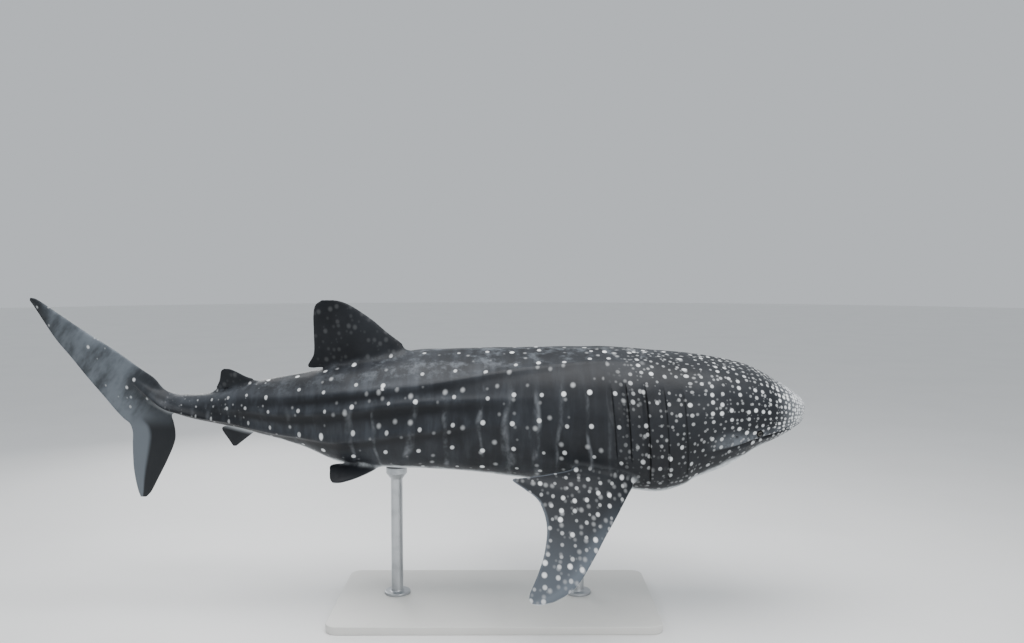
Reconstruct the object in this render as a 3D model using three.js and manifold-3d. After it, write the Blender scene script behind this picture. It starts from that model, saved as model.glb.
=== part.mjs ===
// A whale shark about six metres long, as a still, life-size model on a display stand.
// Millimetres, +X towards the snout, +Z up. The right flank faces -Y.
// The origin is the centre of the underside of the stand's base.
import * as THREE from 'three';
import Module from 'manifold-3d';
import { mergeVertices } from 'three/addons/utils/BufferGeometryUtils.js';

const wasm = await Module();
wasm.setup();

// Driving dimensions
const SNOUT_X = 2323; // tip of the snout in front of the origin
const AXIS_HEIGHT = 1500; // the body's level axis above the floor
const BODY_ROLL = 9; // degrees that the back leans towards the right side
const GAP = 0.3; // clearance between touching pieces
const FIN_SEAT = 0.4; // clearance of a fin's root, an eye or a rod from the skin
const CORE_END = 5230; // where the tail's flesh ends inside the tail fin

// The rear body swings to the left, as a parabola from this distance behind the snout
const BEND_START = 2629;
const BEND_LENGTH = 2154;
const BEND_SIDE = 215.4;

// Body outline: distance behind the snout, level of the back, of the belly and of the widest
// place, all from the axis, and half of the width
const STATIONS = [
  { at: 0, back: -38, belly: -38, level: -38, half: 0 },
  { at: 30, back: 90, belly: -74, level: -12, half: 135 },
  { at: 90, back: 139, belly: -95, level: -2, half: 225 },
  { at: 200, back: 209, belly: -150, level: 10, half: 325 },
  { at: 430, back: 333, belly: -262, level: 20, half: 430 },
  { at: 560, back: 367, belly: -358, level: 14, half: 461 },
  { at: 770, back: 407, belly: -455, level: 0, half: 495 },
  { at: 1180, back: 452, belly: -597, level: -40, half: 530 },
  { at: 1550, back: 468, belly: -548, level: -20, half: 525 },
  { at: 2100, back: 470, belly: -490, level: 0, half: 505 },
  { at: 2800, back: 460, belly: -428, level: 10, half: 450 },
  { at: 3400, back: 362, belly: -424, level: 0, half: 345 },
  { at: 3820, back: 258, belly: -280, level: -10, half: 245 },
  { at: 4250, back: 172, belly: -188, level: 0, half: 165 },
  { at: 4600, back: 70, belly: -134, level: -28, half: 112 },
  { at: 4830, back: 52, belly: -88, level: -18, half: 90 },
  { at: 5050, back: 130, belly: 10, level: 70, half: 60 },
  { at: CORE_END, back: 240, belly: 160, level: 200, half: 22 },
];
const SQUARENESS_HEAD = 2.5; // exponent of the section's rounded square, 2 is an ellipse
const SQUARENESS_TRUNK = 2.2;
const SNOUT_LEAN = 0.22; // forward lean of the snout's face, gone a head's length back
const SNOUT_LEAN_FADE = 260;

// Ring lines run along the ridges and the mouth: degrees down from the middle of the back
const LINE_STATIONS = [
  { at: 0, upper: 20, middle: 55, lower: 90, mouth: 110, lip: 4 },
  { at: 900, upper: 20, middle: 56, lower: 90, mouth: 110, lip: 4 },
  { at: 1500, upper: 24, middle: 59, lower: 88, mouth: 112, lip: 8 },
  { at: 2260, upper: 38, middle: 63, lower: 84, mouth: 112, lip: 9 },
  { at: 2930, upper: 53, middle: 68, lower: 95, mouth: 118, lip: 9 },
  { at: 3500, upper: 56, middle: 77, lower: 109, mouth: 130, lip: 9 },
  { at: 4100, upper: 58, middle: 84, lower: 120, mouth: 139, lip: 8 },
  { at: 4500, upper: 50, middle: 78, lower: 108, mouth: 130, lip: 9 },
  { at: 4830, upper: 45, middle: 70, lower: 97, mouth: 120, lip: 9 },
  { at: CORE_END, upper: 45, middle: 70, lower: 95, mouth: 120, lip: 9 },
];
// Height of each ridge along the body; the lowest grows into the keel of the tail
const RIDGE_STATIONS = [
  { at: 0, back: 0, upper: 0, middle: 0, lower: 0 },
  { at: 1000, back: 0, upper: 0, middle: 0, lower: 0 },
  { at: 1600, back: 10, upper: 14, middle: 0, lower: 0 },
  { at: 2400, back: 10, upper: 18, middle: 14, lower: 6 },
  { at: 3000, back: 0, upper: 20, middle: 19, lower: 18 },
  { at: 3800, back: 8, upper: 18, middle: 18, lower: 24 },
  { at: 4350, back: 0, upper: 4, middle: 12, lower: 36 },
  { at: 4700, back: 0, upper: 0, middle: 3, lower: 55 },
  { at: 4900, back: 0, upper: 0, middle: 0, lower: 46 },
  { at: 5080, back: 0, upper: 0, middle: 0, lower: 6 },
  { at: CORE_END, back: 0, upper: 0, middle: 0, lower: 0 },
];
const RIDGE_WIDTH = 42;
const KEEL_WIDTH = 30;
const BACK_LINES = 5; // ring lines from the middle of the back to the upper ridge
const SIDE_LINES = 3; // from the upper to the middle ridge
const FLANK_LINES = 4; // from the middle to the lower ridge
const BELLY_LINES = 9; // from the lower lip line to the middle of the belly
const MOUTH_LINE = BACK_LINES + SIDE_LINES + FLANK_LINES + 2;
const HALF_LINES = MOUTH_LINE + 1 + BELLY_LINES;

// Mouth: a groove between two lips, deepest to its corner and fading along the cheek
const MOUTH_CORNER = 340;
const MOUTH_GROOVE = 14;
const MOUTH_FADE = 480;
const LIP_SWELL = 7;

// Gill slits: five flaps a side, each with a free rear edge that steps down to the next
const GILL_SLITS = [
  { at: 955, top: 54, bottom: 126 },
  { at: 1088, top: 52, bottom: 128 },
  { at: 1220, top: 50, bottom: 126 },
  { at: 1355, top: 48, bottom: 107 },
  { at: 1460, top: 52, bottom: 106 },
];
const GILL_STEP = 20;
const FLAP_SWELL = 7;
const SLIT_WIDTH = 10;
const FLAP_RISE = 48; // behind a slit, the length over which the skin comes back up
const GILL_LEAN = 45; // how far the slits' upper ends lie behind their middles
const GILL_START = 850;
const GILL_END = 1560;

// Where the body is parted into its named lengths
const TRUNK_FRONT_END = 2150;
const TRUNK_MIDDLE_END = 2850;
const TRUNK_REAR_END = 3480;
const TAIL_BASE_END = 4200;
const PEDUNCLE_END = 4950;
const RING_SPACING = 118;

// Eyes, nostrils, spiracles and barbels
const EYE = { at: 425, angle: 102, radius: 25, sunk: 14, rim: 29, rimTube: 8 };
const SPIRACLE = { at: 600, angle: 99, length: 26, height: 15, depth: 12 };
const NOSTRIL = { at: 205, angle: 105, length: 34, height: 17, depth: 18 };
const BARBEL = { at: 185, angle: 104, length: 34, radius: 10 };

// Stand
const BASE_LENGTH = 2400;
const BASE_WIDTH = 1200;
const BASE_THICKNESS = 60;
const BASE_CORNER = 90;
const BASE_BEVEL = 8;
const ROD_RADIUS = 45;
const ROD_FLANGE = { radius: 100, height: 20, chamfer: 8 };
const ROD_FILLET = 10; // between the flange and the rod
const ROD_PAD = { radius: 80, below: 80, cone: 40 }; // under the belly's lowest line at the rod
const ROD_SIDES = 20;
const ROD_INSIDE = 200; // a rod is cut by the belly from this far under the axis
const ROD_SIDE = 75; // the rods stand under the belly's lowest line
const FRONT_ROD_X = 640;
const REAR_ROD_X = -760;

const SKIN_DARK = new THREE.MeshStandardMaterial({ color: 0x35414f, roughness: 0.55, metalness: 0 });
const SKIN_HEAD = new THREE.MeshStandardMaterial({ color: 0x4a5663, roughness: 0.55, metalness: 0 });
const SKIN_FIN = new THREE.MeshStandardMaterial({ color: 0x3c4958, roughness: 0.5, metalness: 0 });
const EYE_DARK = new THREE.MeshStandardMaterial({ color: 0x0b0d10, roughness: 0.15, metalness: 0 });
const STAND_PAINT = new THREE.MeshStandardMaterial({ color: 0xd9d8d4, roughness: 0.5, metalness: 0 });
const ROD_STEEL = new THREE.MeshStandardMaterial({ color: 0xa9adb0, roughness: 0.3, metalness: 1 });

// A smooth curve through named stations that never swings past them. It runs over the square
// root of the distance behind the snout, which makes the snout round.
function profile(stations, name) {
  const x = stations.map((station) => Math.sqrt(station.at));
  const y = stations.map((station) => station[name]);
  const last = x.length - 1;
  const slope = [];
  for (let i = 0; i < last; i += 1) {
    slope.push((y[i + 1] - y[i]) / (x[i + 1] - x[i]));
  }
  const tangent = y.map((value, i) => {
    if (i === 0) return slope[0];
    if (i === last) return slope[last - 1];
    if (slope[i - 1] * slope[i] <= 0) return 0;
    const before = x[i] - x[i - 1];
    const after = x[i + 1] - x[i];
    const first = (2 * after + before) / slope[i - 1];
    const second = (after + 2 * before) / slope[i];
    return (3 * (before + after)) / (first + second);
  });
  return (at) => {
    const place = Math.sqrt(Math.max(at, 0));
    let i = 0;
    while (i < last - 1 && place > x[i + 1]) i += 1;
    const span = x[i + 1] - x[i];
    const t = (place - x[i]) / span;
    const near = (1 + 2 * t) * (1 - t) ** 2 * y[i] + t * (1 - t) ** 2 * span * tangent[i];
    const far = t * t * (3 - 2 * t) * y[i + 1] + t * t * (t - 1) * span * tangent[i + 1];
    return near + far;
  };
}

const body = {};
for (const name of ['back', 'belly', 'level', 'half']) {
  body[name] = profile(STATIONS, name);
}
const line = {};
for (const name of ['upper', 'middle', 'lower', 'mouth', 'lip']) {
  line[name] = profile(LINE_STATIONS, name);
}
const ridge = {};
for (const name of ['back', 'upper', 'middle', 'lower']) {
  ridge[name] = profile(RIDGE_STATIONS, name);
}

const radians = THREE.MathUtils.degToRad;

function smooth(value, low, high) {
  return THREE.MathUtils.smoothstep(value, low, high);
}

function bend(at) {
  const run = Math.max(at - BEND_START, 0) / BEND_LENGTH;
  return BEND_SIDE * run * run;
}

// Height above the plain skin of the ridges that run along the body
function ridgeHeight(at, degrees) {
  const girth = (body.half(at) + (body.back(at) - body.belly(at)) / 2) / 2;
  const crest = (name, place, width) => {
    const away = (girth * radians(degrees - place)) / width;
    return ridge[name](at) / (1 + away * away) ** 2;
  };
  const keel = THREE.MathUtils.lerp(RIDGE_WIDTH, KEEL_WIDTH, smooth(at, 3600, 4500));
  return crest('back', 0, RIDGE_WIDTH) + crest('upper', line.upper(at), RIDGE_WIDTH)
    + crest('middle', line.middle(at), RIDGE_WIDTH) + crest('lower', line.lower(at), keel);
}

// Gill flaps: the skin swells towards each slit, drops by a step and rises again behind it
function gillHeight(at, degrees) {
  let height = 0;
  for (const slit of GILL_SLITS) {
    const window = smooth(degrees, slit.top - 5, slit.top + 4)
      * (1 - smooth(degrees, slit.bottom - 4, slit.bottom + 5));
    const past = at - slit.at;
    if (past <= 0) {
      height += window * FLAP_SWELL * smooth(past, -70, -2);
    } else {
      const drop = smooth(past, 0, SLIT_WIDTH);
      const rise = smooth(past, SLIT_WIDTH + 2, SLIT_WIDTH + FLAP_RISE);
      height += window * (FLAP_SWELL * (1 - drop) - (GILL_STEP - FLAP_SWELL) * drop * (1 - rise));
    }
  }
  return height;
}

// Lips swell above and below the mouth line and the line itself is sunk
function mouthHeight(at, degrees) {
  const strength = 1 - smooth(at, MOUTH_CORNER, MOUTH_CORNER + MOUTH_FADE);
  const start = smooth(at, 2, 25);
  const away = Math.abs(degrees - line.mouth(at)) / line.lip(at);
  const groove = -MOUTH_GROOVE * Math.max(1 - away, 0);
  const lips = LIP_SWELL * Math.exp(-((away - 1) ** 2) * 1.5);
  return strength * start * (groove + lips);
}

// A point of the skin. Degrees count down from the middle of the back; side is 1 for the
// right flank and -1 for the left. Grow moves the point outwards.
function skin(at, degrees, side, grow = 0) {
  const turn = radians(degrees);
  const squareness = THREE.MathUtils.lerp(SQUARENESS_HEAD, SQUARENESS_TRUNK, smooth(at, 500, 1600));
  const cos = Math.cos(turn);
  const sin = Math.sin(turn);
  const reach = (Math.abs(cos) ** squareness + Math.abs(sin) ** squareness) ** (-1 / squareness);
  const level = body.level(at);
  const height = cos > 0 ? body.back(at) - level : level - body.belly(at);
  const half = body.half(at);
  const y = half * sin * reach;
  const z = height * cos * reach;
  const length = Math.hypot(y, z) || 1;
  const raised = ridgeHeight(at, degrees) + gillHeight(at, degrees) + mouthHeight(at, degrees) + grow;
  const far = 1 + raised / length;
  const top = level + z * far;
  const lean = SNOUT_LEAN * Math.exp(-at / SNOUT_LEAN_FADE) * (top - STATIONS[0].level);
  const gills = smooth(at, GILL_START, 960) * (1 - smooth(at, 1470, GILL_END));
  const slant = GILL_LEAN * gills * cos;
  return new THREE.Vector3(SNOUT_X - at + lean - slant, bend(at) - side * y * far, top);
}

// The ring lines' angles at one place along the body, from the back down to the belly
function ringAngles(at) {
  const anchors = [
    [0, 0],
    [BACK_LINES, line.upper(at)],
    [BACK_LINES + SIDE_LINES, line.middle(at)],
    [BACK_LINES + SIDE_LINES + FLANK_LINES, line.lower(at)],
    [MOUTH_LINE - 1, line.mouth(at) - line.lip(at)],
    [MOUTH_LINE, line.mouth(at)],
    [MOUTH_LINE + 1, line.mouth(at) + line.lip(at)],
    [HALF_LINES, 180],
  ];
  const angles = [];
  for (let k = 0; k < anchors.length - 1; k += 1) {
    const [from, start] = anchors[k];
    const [to, end] = anchors[k + 1];
    for (let j = from; j < to; j += 1) {
      angles.push(start + ((end - start) * (j - from)) / (to - from));
    }
  }
  angles.push(180);
  return angles;
}

// Rings run from the back down the right side and up the left, whole or above or below the
// mouth. Turn is the index of the first edge on the left, where the split of the faces turns.
const WHOLE_TURN = HALF_LINES;
const UPPER_TURN = MOUTH_LINE + 1;
const LOWER_TURN = BELLY_LINES + 1;

function wholeRing(at, grow = 0) {
  const angles = ringAngles(at);
  const right = angles.map((angle) => skin(at, angle, 1, grow));
  const left = angles.slice(1, -1).map((angle) => skin(at, angle, -1, grow));
  return [...right, ...left.reverse()];
}

function upperRing(at) {
  const angles = ringAngles(at).slice(0, MOUTH_LINE + 1);
  const right = angles.map((angle) => skin(at, angle, 1));
  const left = angles.slice(1).map((angle) => skin(at, angle, -1));
  return [...right, ...left.reverse()];
}

function lowerRing(at) {
  const angles = ringAngles(at).slice(MOUTH_LINE);
  const right = angles.map((angle) => skin(at, angle, 1));
  const left = angles.slice(0, -1).map((angle) => skin(at, angle, -1));
  const ring = [...right, ...left.reverse()];
  ring.forEach((point) => {
    point.z -= GAP;
  });
  return ring;
}

function signedVolume(points, faces) {
  let six = 0;
  const cross = new THREE.Vector3();
  for (const [a, b, c] of faces) {
    cross.crossVectors(points[b], points[c]);
    six += points[a].dot(cross);
  }
  return six / 6;
}

function meshGeometry(points, faces) {
  const outwards = signedVolume(points, faces) > 0;
  const order = outwards ? faces : faces.map(([a, b, c]) => [a, c, b]);
  const geometry = new THREE.BufferGeometry();
  geometry.setFromPoints(points);
  geometry.setIndex(order.flat());
  geometry.computeVertexNormals();
  return geometry;
}

// A closed skin over rings of points. A ring of one point closes the end in a tip, and any
// other end is closed flat across the ring. Up to the turn the faces are split one way and
// after it the other, so that right and left, or the two faces of a fin, are split alike.
function loft(rings, turn) {
  const points = [];
  const starts = [];
  for (const ring of rings) {
    starts.push(points.length);
    points.push(...ring);
  }
  const faces = [];
  for (let i = 0; i < rings.length - 1; i += 1) {
    const here = rings[i].length;
    const next = rings[i + 1].length;
    const count = Math.max(here, next);
    for (let k = 0; k < count; k += 1) {
      const after = (k + 1) % count;
      const a = starts[i] + (here > 1 ? k : 0);
      const b = starts[i] + (here > 1 ? after : 0);
      const c = starts[i + 1] + (next > 1 ? k : 0);
      const d = starts[i + 1] + (next > 1 ? after : 0);
      const split = k < turn ? [[a, b, d], [a, d, c]] : [[a, b, c], [b, d, c]];
      faces.push(...split.filter(([p, q, r]) => p !== q && q !== r && p !== r));
    }
  }
  const close = (start, count, flip) => {
    let low = 0;
    let high = count - 1;
    while (high - low > 1) {
      const pair = [[low, low + 1, high], [low + 1, high - 1, high]];
      for (const [p, q, r] of pair) {
        if (p !== q && q !== r) {
          faces.push(flip ? [start + p, start + r, start + q] : [start + p, start + q, start + r]);
        }
      }
      low += 1;
      high -= 1;
    }
  };
  const final = rings.length - 1;
  if (rings[0].length > 1) close(starts[0], rings[0].length, true);
  if (rings[final].length > 1) close(starts[final], rings[final].length, false);
  return meshGeometry(points, faces);
}

function toSolid(geometry) {
  const bare = geometry.clone();
  bare.deleteAttribute('normal');
  bare.deleteAttribute('uv');
  const merged = mergeVertices(bare, 1e-4);
  const vertProperties = new Float32Array(merged.attributes.position.array);
  const triVerts = new Uint32Array(merged.index.array);
  return new wasm.Manifold(new wasm.Mesh({ numProp: 3, vertProperties, triVerts }));
}

// The largest closed piece of a solid, as a geometry
function toGeometry(solid) {
  const pieces = solid.decompose();
  pieces.sort((a, b) => b.volume() - a.volume());
  const mesh = pieces[0].getMesh();
  const geometry = new THREE.BufferGeometry();
  geometry.setAttribute('position', new THREE.BufferAttribute(new Float32Array(mesh.vertProperties), 3));
  geometry.setIndex(new THREE.BufferAttribute(new Uint32Array(mesh.triVerts), 1));
  geometry.computeVertexNormals();
  return geometry;
}

function spread(from, to, spacing) {
  const count = Math.ceil((to - from) / spacing);
  return Array.from({ length: count + 1 }, (_, i) => from + ((to - from) * i) / count);
}

const HEAD_RINGS = [7, 22, 45, 80, 125, 180, 245, 320, 400, 490, 585, 680, 765, GILL_START];
const gillRings = GILL_SLITS.flatMap(({ at }) => [at - 36, at - 1, at + SLIT_WIDTH, at + 34]);
const GILL_RINGS = [GILL_START, ...gillRings, 1515, GILL_END];

const LENGTHS = [
  { name: 'gill_region', rings: GILL_RINGS },
  { name: 'trunk_front', rings: spread(GILL_END, TRUNK_FRONT_END, RING_SPACING) },
  { name: 'trunk_middle', rings: spread(TRUNK_FRONT_END, TRUNK_MIDDLE_END, RING_SPACING) },
  { name: 'trunk_rear', rings: spread(TRUNK_MIDDLE_END, TRUNK_REAR_END, RING_SPACING) },
  { name: 'tail_base', rings: spread(TRUNK_REAR_END, TAIL_BASE_END, RING_SPACING) },
  { name: 'caudal_peduncle', rings: spread(TAIL_BASE_END, PEDUNCLE_END, RING_SPACING) },
];
const CORE_RINGS = spread(PEDUNCLE_END, CORE_END, 70);

// Rings of one length, with both ends drawn in by half of the gap
function partedRings(places) {
  return places.map((at, i) => {
    if (i === 0) return at + GAP / 2;
    if (i === places.length - 1) return at - GAP / 2;
    return at;
  });
}

const snoutTip = new THREE.Vector3(SNOUT_X, 0, STATIONS[0].level);

// The whole skin moved out by the seat's clearance, which cuts the roots of what grows on it
function seatGeometry() {
  const places = [...HEAD_RINGS, ...LENGTHS.flatMap(({ rings }) => rings.slice(1)), ...CORE_RINGS.slice(1)];
  const rings = places.map((at) => wholeRing(at, FIN_SEAT));
  const tip = snoutTip.clone();
  tip.x += FIN_SEAT;
  return loft([[tip], ...rings], WHOLE_TURN);
}
const seat = toSolid(seatGeometry());

// Thickness across a fin's chord, 1 at its greatest, rounded in front and thin behind
function chordThickness(back) {
  const shape = 0.2969 * Math.sqrt(back) - 0.126 * back - 0.3516 * back ** 2
    + 0.2843 * back ** 3 - 0.1036 * back ** 4;
  return 10 * shape;
}

// A fin laid out in its own plane as [back along the chord, out along the span], with one
// leading and one trailing point for each level. Thickness gives the greatest thickness at a
// level from 0 to 1. Place puts a point of that plane, and its distance to one face, on the body.
function finGeometry({ leading, trailing, thickness, edge, rows, columns, place }) {
  const curve = (pairs) => new THREE.CatmullRomCurve3(
    pairs.map(([back, out]) => new THREE.Vector3(back, out, 0)), false, 'catmullrom', 0.5,
  );
  const front = curve(leading);
  const rear = curve(trailing);
  const rings = [];
  for (let row = 0; row <= rows; row += 1) {
    const level = row / rows;
    const from = front.getPoint(level);
    const to = rear.getPoint(level);
    const near = [];
    const far = [];
    for (let column = 0; column <= columns; column += 1) {
      const back = (1 - Math.cos((Math.PI * column) / columns)) / 2;
      const point = from.clone().lerp(to, back);
      const half = Math.max((thickness(level) * chordThickness(back)) / 2, edge / 2);
      near.push(place(point.x, point.y, half));
      far.push(place(point.x, point.y, -half));
    }
    rings.push([...near, ...far.reverse()]);
  }
  return loft(rings, columns + 1);
}

function taper(root, tip) {
  return (level) => THREE.MathUtils.lerp(root, tip, level ** 0.8);
}

function seated(geometry) {
  return toGeometry(toSolid(geometry).subtract(seat));
}

// Fins of the middle line stand in the plane of the bent body: back is the distance behind the
// snout and out is the level from the axis
function upright(back, out, half) {
  return new THREE.Vector3(SNOUT_X - back, bend(back) - half, out);
}

const FIRST_DORSAL = {
  leading: [
    [2900, 380], [2990, 492], [3130, 605], [3222, 686], [3314, 753], [3400, 806], [3471, 834], [3520, 842],
  ],
  trailing: [
    [3546, 250], [3600, 318], [3735, 326], [3688, 430], [3681, 588], [3678, 720], [3660, 800], [3610, 840],
  ],
  thickness: taper(92, 12), edge: 5, rows: 12, columns: 8, place: upright,
};
const SECOND_DORSAL = {
  leading: [[4090, 150], [4153, 206], [4232, 230], [4300, 262], [4345, 280], [4366, 285]],
  trailing: [[4385, 80], [4400, 128], [4490, 92], [4447, 190], [4430, 262], [4405, 284]],
  thickness: taper(44, 8), edge: 4, rows: 7, columns: 6, place: upright,
};
const ANAL = {
  leading: [[4130, -150], [4185, -205], [4255, -262], [4315, -310], [4345, -335]],
  trailing: [[4370, -110], [4400, -165], [4455, -200], [4402, -290], [4372, -338]],
  thickness: taper(40, 8), edge: 4, rows: 7, columns: 6, place: upright,
};
// The tail fin, from the tip of the upper lobe down to the tip of the lower lobe
const CAUDAL = {
  leading: [
    [6035, 764], [5960, 745], [5751, 627], [5556, 515], [5312, 382], [5112, 254], [4960, 160],
    [4900, 60], [4880, -50], [4860, -160], [4850, -262], [4868, -350], [4944, -503], [5039, -667],
    [5104, -777], [5150, -826],
  ],
  trailing: [
    [6046, 742], [5995, 672], [5847, 450], [5719, 306], [5596, 160], [5437, -17], [5355, -112],
    [5290, -176], [5240, -215], [5222, -285], [5232, -380], [5240, -490], [5243, -590], [5236, -690],
    [5222, -780], [5205, -834],
  ],
  thickness: (level) => THREE.MathUtils.lerp(10, 56, Math.sin(Math.PI * (level * 0.96 + 0.02)) ** 0.7),
  edge: 5, rows: 30, columns: 8, place: upright,
};
const FORK = { at: 5246, level: -212 };
const STEM_CORNER = { at: 4870, level: -75 }; // where the lobes' parting line meets the stem
const PARTING_BLOCK = 6000; // longer and wider than the tail fin on every side

// Paired fins lie in planes of their own: the chord runs back and up by the pitch, the span
// runs out and down by the droop
const PECTORAL = {
  leading: [
    [-35, -85], [5, 25], [44, 110], [75, 180], [100, 240], [125, 300], [160, 378], [215, 500], [286, 667],
    [372, 845], [444, 937], [533, 1008], [600, 1040], [645, 1052],
  ],
  trailing: [
    [440, -90], [470, 15], [640, 100], [792, 160], [898, 202], [800, 258], [696, 326], [628, 490], [627, 680],
    [652, 815], [682, 921], [702, 985], [702, 1028], [680, 1050],
  ],
  thickness: taper(82, 14), edge: 5, rows: 22, columns: 8,
};
const PECTORAL_ROOT = { at: 1303, out: 438, level: -386 };
const PECTORAL_POSE = { pitch: 14, toe: 4, droop: { right: 40, left: 26 } };
const PELVIC = {
  leading: [[-30, -60], [10, 10], [85, 85], [170, 150], [250, 195], [295, 208]],
  trailing: [[215, -70], [250, 5], [370, 52], [368, 112], [348, 178], [322, 208]],
  thickness: taper(42, 9), edge: 4, rows: 8, columns: 6,
};
const PELVIC_ROOT = { at: 3170, angle: 148 };
const PELVIC_POSE = { pitch: 4, toe: -6, droop: 31 };

// Places a fin's plane at a root point, for the right side or mirrored for the left
function pairedPlane(root, pitch, toe, droop, side) {
  const rise = radians(pitch);
  const swing = radians(toe);
  const chord = new THREE.Vector3(
    -Math.cos(rise) * Math.cos(swing), -Math.cos(rise) * Math.sin(swing), Math.sin(rise),
  );
  const down = new THREE.Vector3(0, -Math.cos(radians(droop)), -Math.sin(radians(droop)));
  const normal = new THREE.Vector3().crossVectors(chord, down).normalize();
  const span = new THREE.Vector3().crossVectors(normal, chord);
  return (back, out, half) => {
    const point = root.clone();
    point.addScaledVector(chord, back);
    point.addScaledVector(span, out);
    point.addScaledVector(normal, half);
    point.y *= side;
    return point;
  };
}

function pectoralFin(sideName) {
  const root = new THREE.Vector3(SNOUT_X - PECTORAL_ROOT.at, -PECTORAL_ROOT.out, PECTORAL_ROOT.level);
  const side = sideName === 'right' ? 1 : -1;
  const droop = PECTORAL_POSE.droop[sideName];
  const place = pairedPlane(root, PECTORAL_POSE.pitch, PECTORAL_POSE.toe, droop, side);
  return seated(finGeometry({ ...PECTORAL, place }));
}

function pelvicFin(sideName) {
  const root = skin(PELVIC_ROOT.at, PELVIC_ROOT.angle, 1);
  root.y -= bend(PELVIC_ROOT.at);
  const side = sideName === 'right' ? 1 : -1;
  const plane = pairedPlane(root, PELVIC_POSE.pitch, PELVIC_POSE.toe, PELVIC_POSE.droop, side);
  const place = (back, out, half) => {
    const point = plane(back, out, half);
    point.y += bend(SNOUT_X - point.x);
    return point;
  };
  return seated(finGeometry({ ...PELVIC, place }));
}

// A block that fills everything above or below the lobes' parting line
function blockBesideParting(up) {
  const run = FORK.at - STEM_CORNER.at;
  const drop = STEM_CORNER.level - FORK.level;
  const block = new THREE.BoxGeometry(PARTING_BLOCK, PARTING_BLOCK, PARTING_BLOCK);
  block.translate(0, 0, (up * (PARTING_BLOCK + GAP)) / 2);
  block.rotateY(-Math.atan2(drop, run));
  block.translate(SNOUT_X - STEM_CORNER.at, 0, STEM_CORNER.level);
  return toSolid(block);
}

// Both lobes of the tail fin are one blade round the end of the flesh, parted along a line
// from the tail's stem to the fork. The flesh stays with the upper lobe.
function caudalBlade() {
  const blade = toSolid(finGeometry(CAUDAL));
  const core = toSolid(loft(partedRings(CORE_RINGS).map((at) => wholeRing(at)), WHOLE_TURN));
  const stemRings = [...LENGTHS.at(-1).rings.slice(0, -1), PEDUNCLE_END + GAP / 2];
  const stem = toSolid(loft(stemRings.map((at) => wholeRing(at, FIN_SEAT)), WHOLE_TURN));
  return blade.subtract(stem).add(core);
}

// The direction straight out of the skin, from its slope over a short step each way
const SLOPE_STEP = 4;
function outwards(at, degrees, side) {
  const along = skin(at + SLOPE_STEP, degrees, side).sub(skin(at - SLOPE_STEP, degrees, side));
  const around = skin(at, degrees + 1, side).sub(skin(at, degrees - 1, side));
  const normal = new THREE.Vector3().crossVectors(along, around).normalize();
  return normal.y * side > 0 ? normal.negate() : normal;
}

// Lays a shape, made round the origin with Z outwards and X along the body, on the skin
function onSkin(geometry, at, degrees, side, sunk) {
  const normal = outwards(at, degrees, side);
  const along = new THREE.Vector3(1, 0, 0).addScaledVector(normal, -normal.x).normalize();
  const across = new THREE.Vector3().crossVectors(normal, along);
  const place = new THREE.Matrix4().makeBasis(along, across, normal);
  const point = skin(at, degrees, side).addScaledVector(normal, -sunk);
  place.setPosition(point);
  return geometry.applyMatrix4(place);
}

function dent({ at, angle, length, height, depth }, side) {
  const hollow = new THREE.SphereGeometry(1, 10, 7);
  hollow.scale(length / 2, height / 2, depth);
  return toSolid(onSkin(hollow, at, angle, side, 0));
}

function eyeBall(side, grow = 0) {
  return onSkin(new THREE.SphereGeometry(EYE.radius + grow, 14, 10), EYE.at, EYE.angle, side, EYE.sunk);
}

// The upper head: the lofted skull and snout with a rim round each eye, the eye sockets, and
// the nostrils and spiracles as dents
function upperHead() {
  const rings = [...HEAD_RINGS.slice(0, -1), GILL_START - GAP / 2].map(upperRing);
  let head = toSolid(loft([[snoutTip], ...rings], UPPER_TURN));
  for (const side of [1, -1]) {
    const rim = new THREE.TorusGeometry(EYE.rim, EYE.rimTube, 5, 14);
    head = head.add(toSolid(onSkin(rim, EYE.at, EYE.angle, side, 3)));
    head = head.subtract(toSolid(eyeBall(side, FIN_SEAT)));
    head = head.subtract(dent(NOSTRIL, side));
    head = head.subtract(dent(SPIRACLE, side));
  }
  return toGeometry(head);
}

function lowerJaw() {
  const rings = [...HEAD_RINGS.slice(0, -1), GILL_START - GAP / 2].map(lowerRing);
  const tip = snoutTip.clone();
  tip.z -= GAP;
  return loft([[tip], ...rings], LOWER_TURN);
}

// A short soft point that hangs from the rim of the nostril over the lip
function barbel(side) {
  const cone = new THREE.ConeGeometry(BARBEL.radius, BARBEL.length, 10);
  cone.rotateX(Math.PI / 2);
  const hanging = onSkin(cone, BARBEL.at, BARBEL.angle, side, -BARBEL.length / 4);
  return seated(hanging);
}

function standBase() {
  const halfLength = BASE_LENGTH / 2 - BASE_CORNER;
  const halfWidth = BASE_WIDTH / 2 - BASE_CORNER;
  const outline = new THREE.Shape();
  outline.absarc(halfLength, halfWidth, BASE_CORNER, 0, Math.PI / 2);
  outline.absarc(-halfLength, halfWidth, BASE_CORNER, Math.PI / 2, Math.PI);
  outline.absarc(-halfLength, -halfWidth, BASE_CORNER, Math.PI, 1.5 * Math.PI);
  outline.absarc(halfLength, -halfWidth, BASE_CORNER, 1.5 * Math.PI, 2 * Math.PI);
  const plate = new THREE.ExtrudeGeometry(outline, {
    depth: BASE_THICKNESS - 2 * BASE_BEVEL,
    bevelThickness: BASE_BEVEL,
    bevelSize: BASE_BEVEL,
    bevelOffset: -BASE_BEVEL,
    bevelSegments: 1,
    curveSegments: 4,
  });
  return plate.translate(0, 0, BASE_BEVEL);
}

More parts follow.
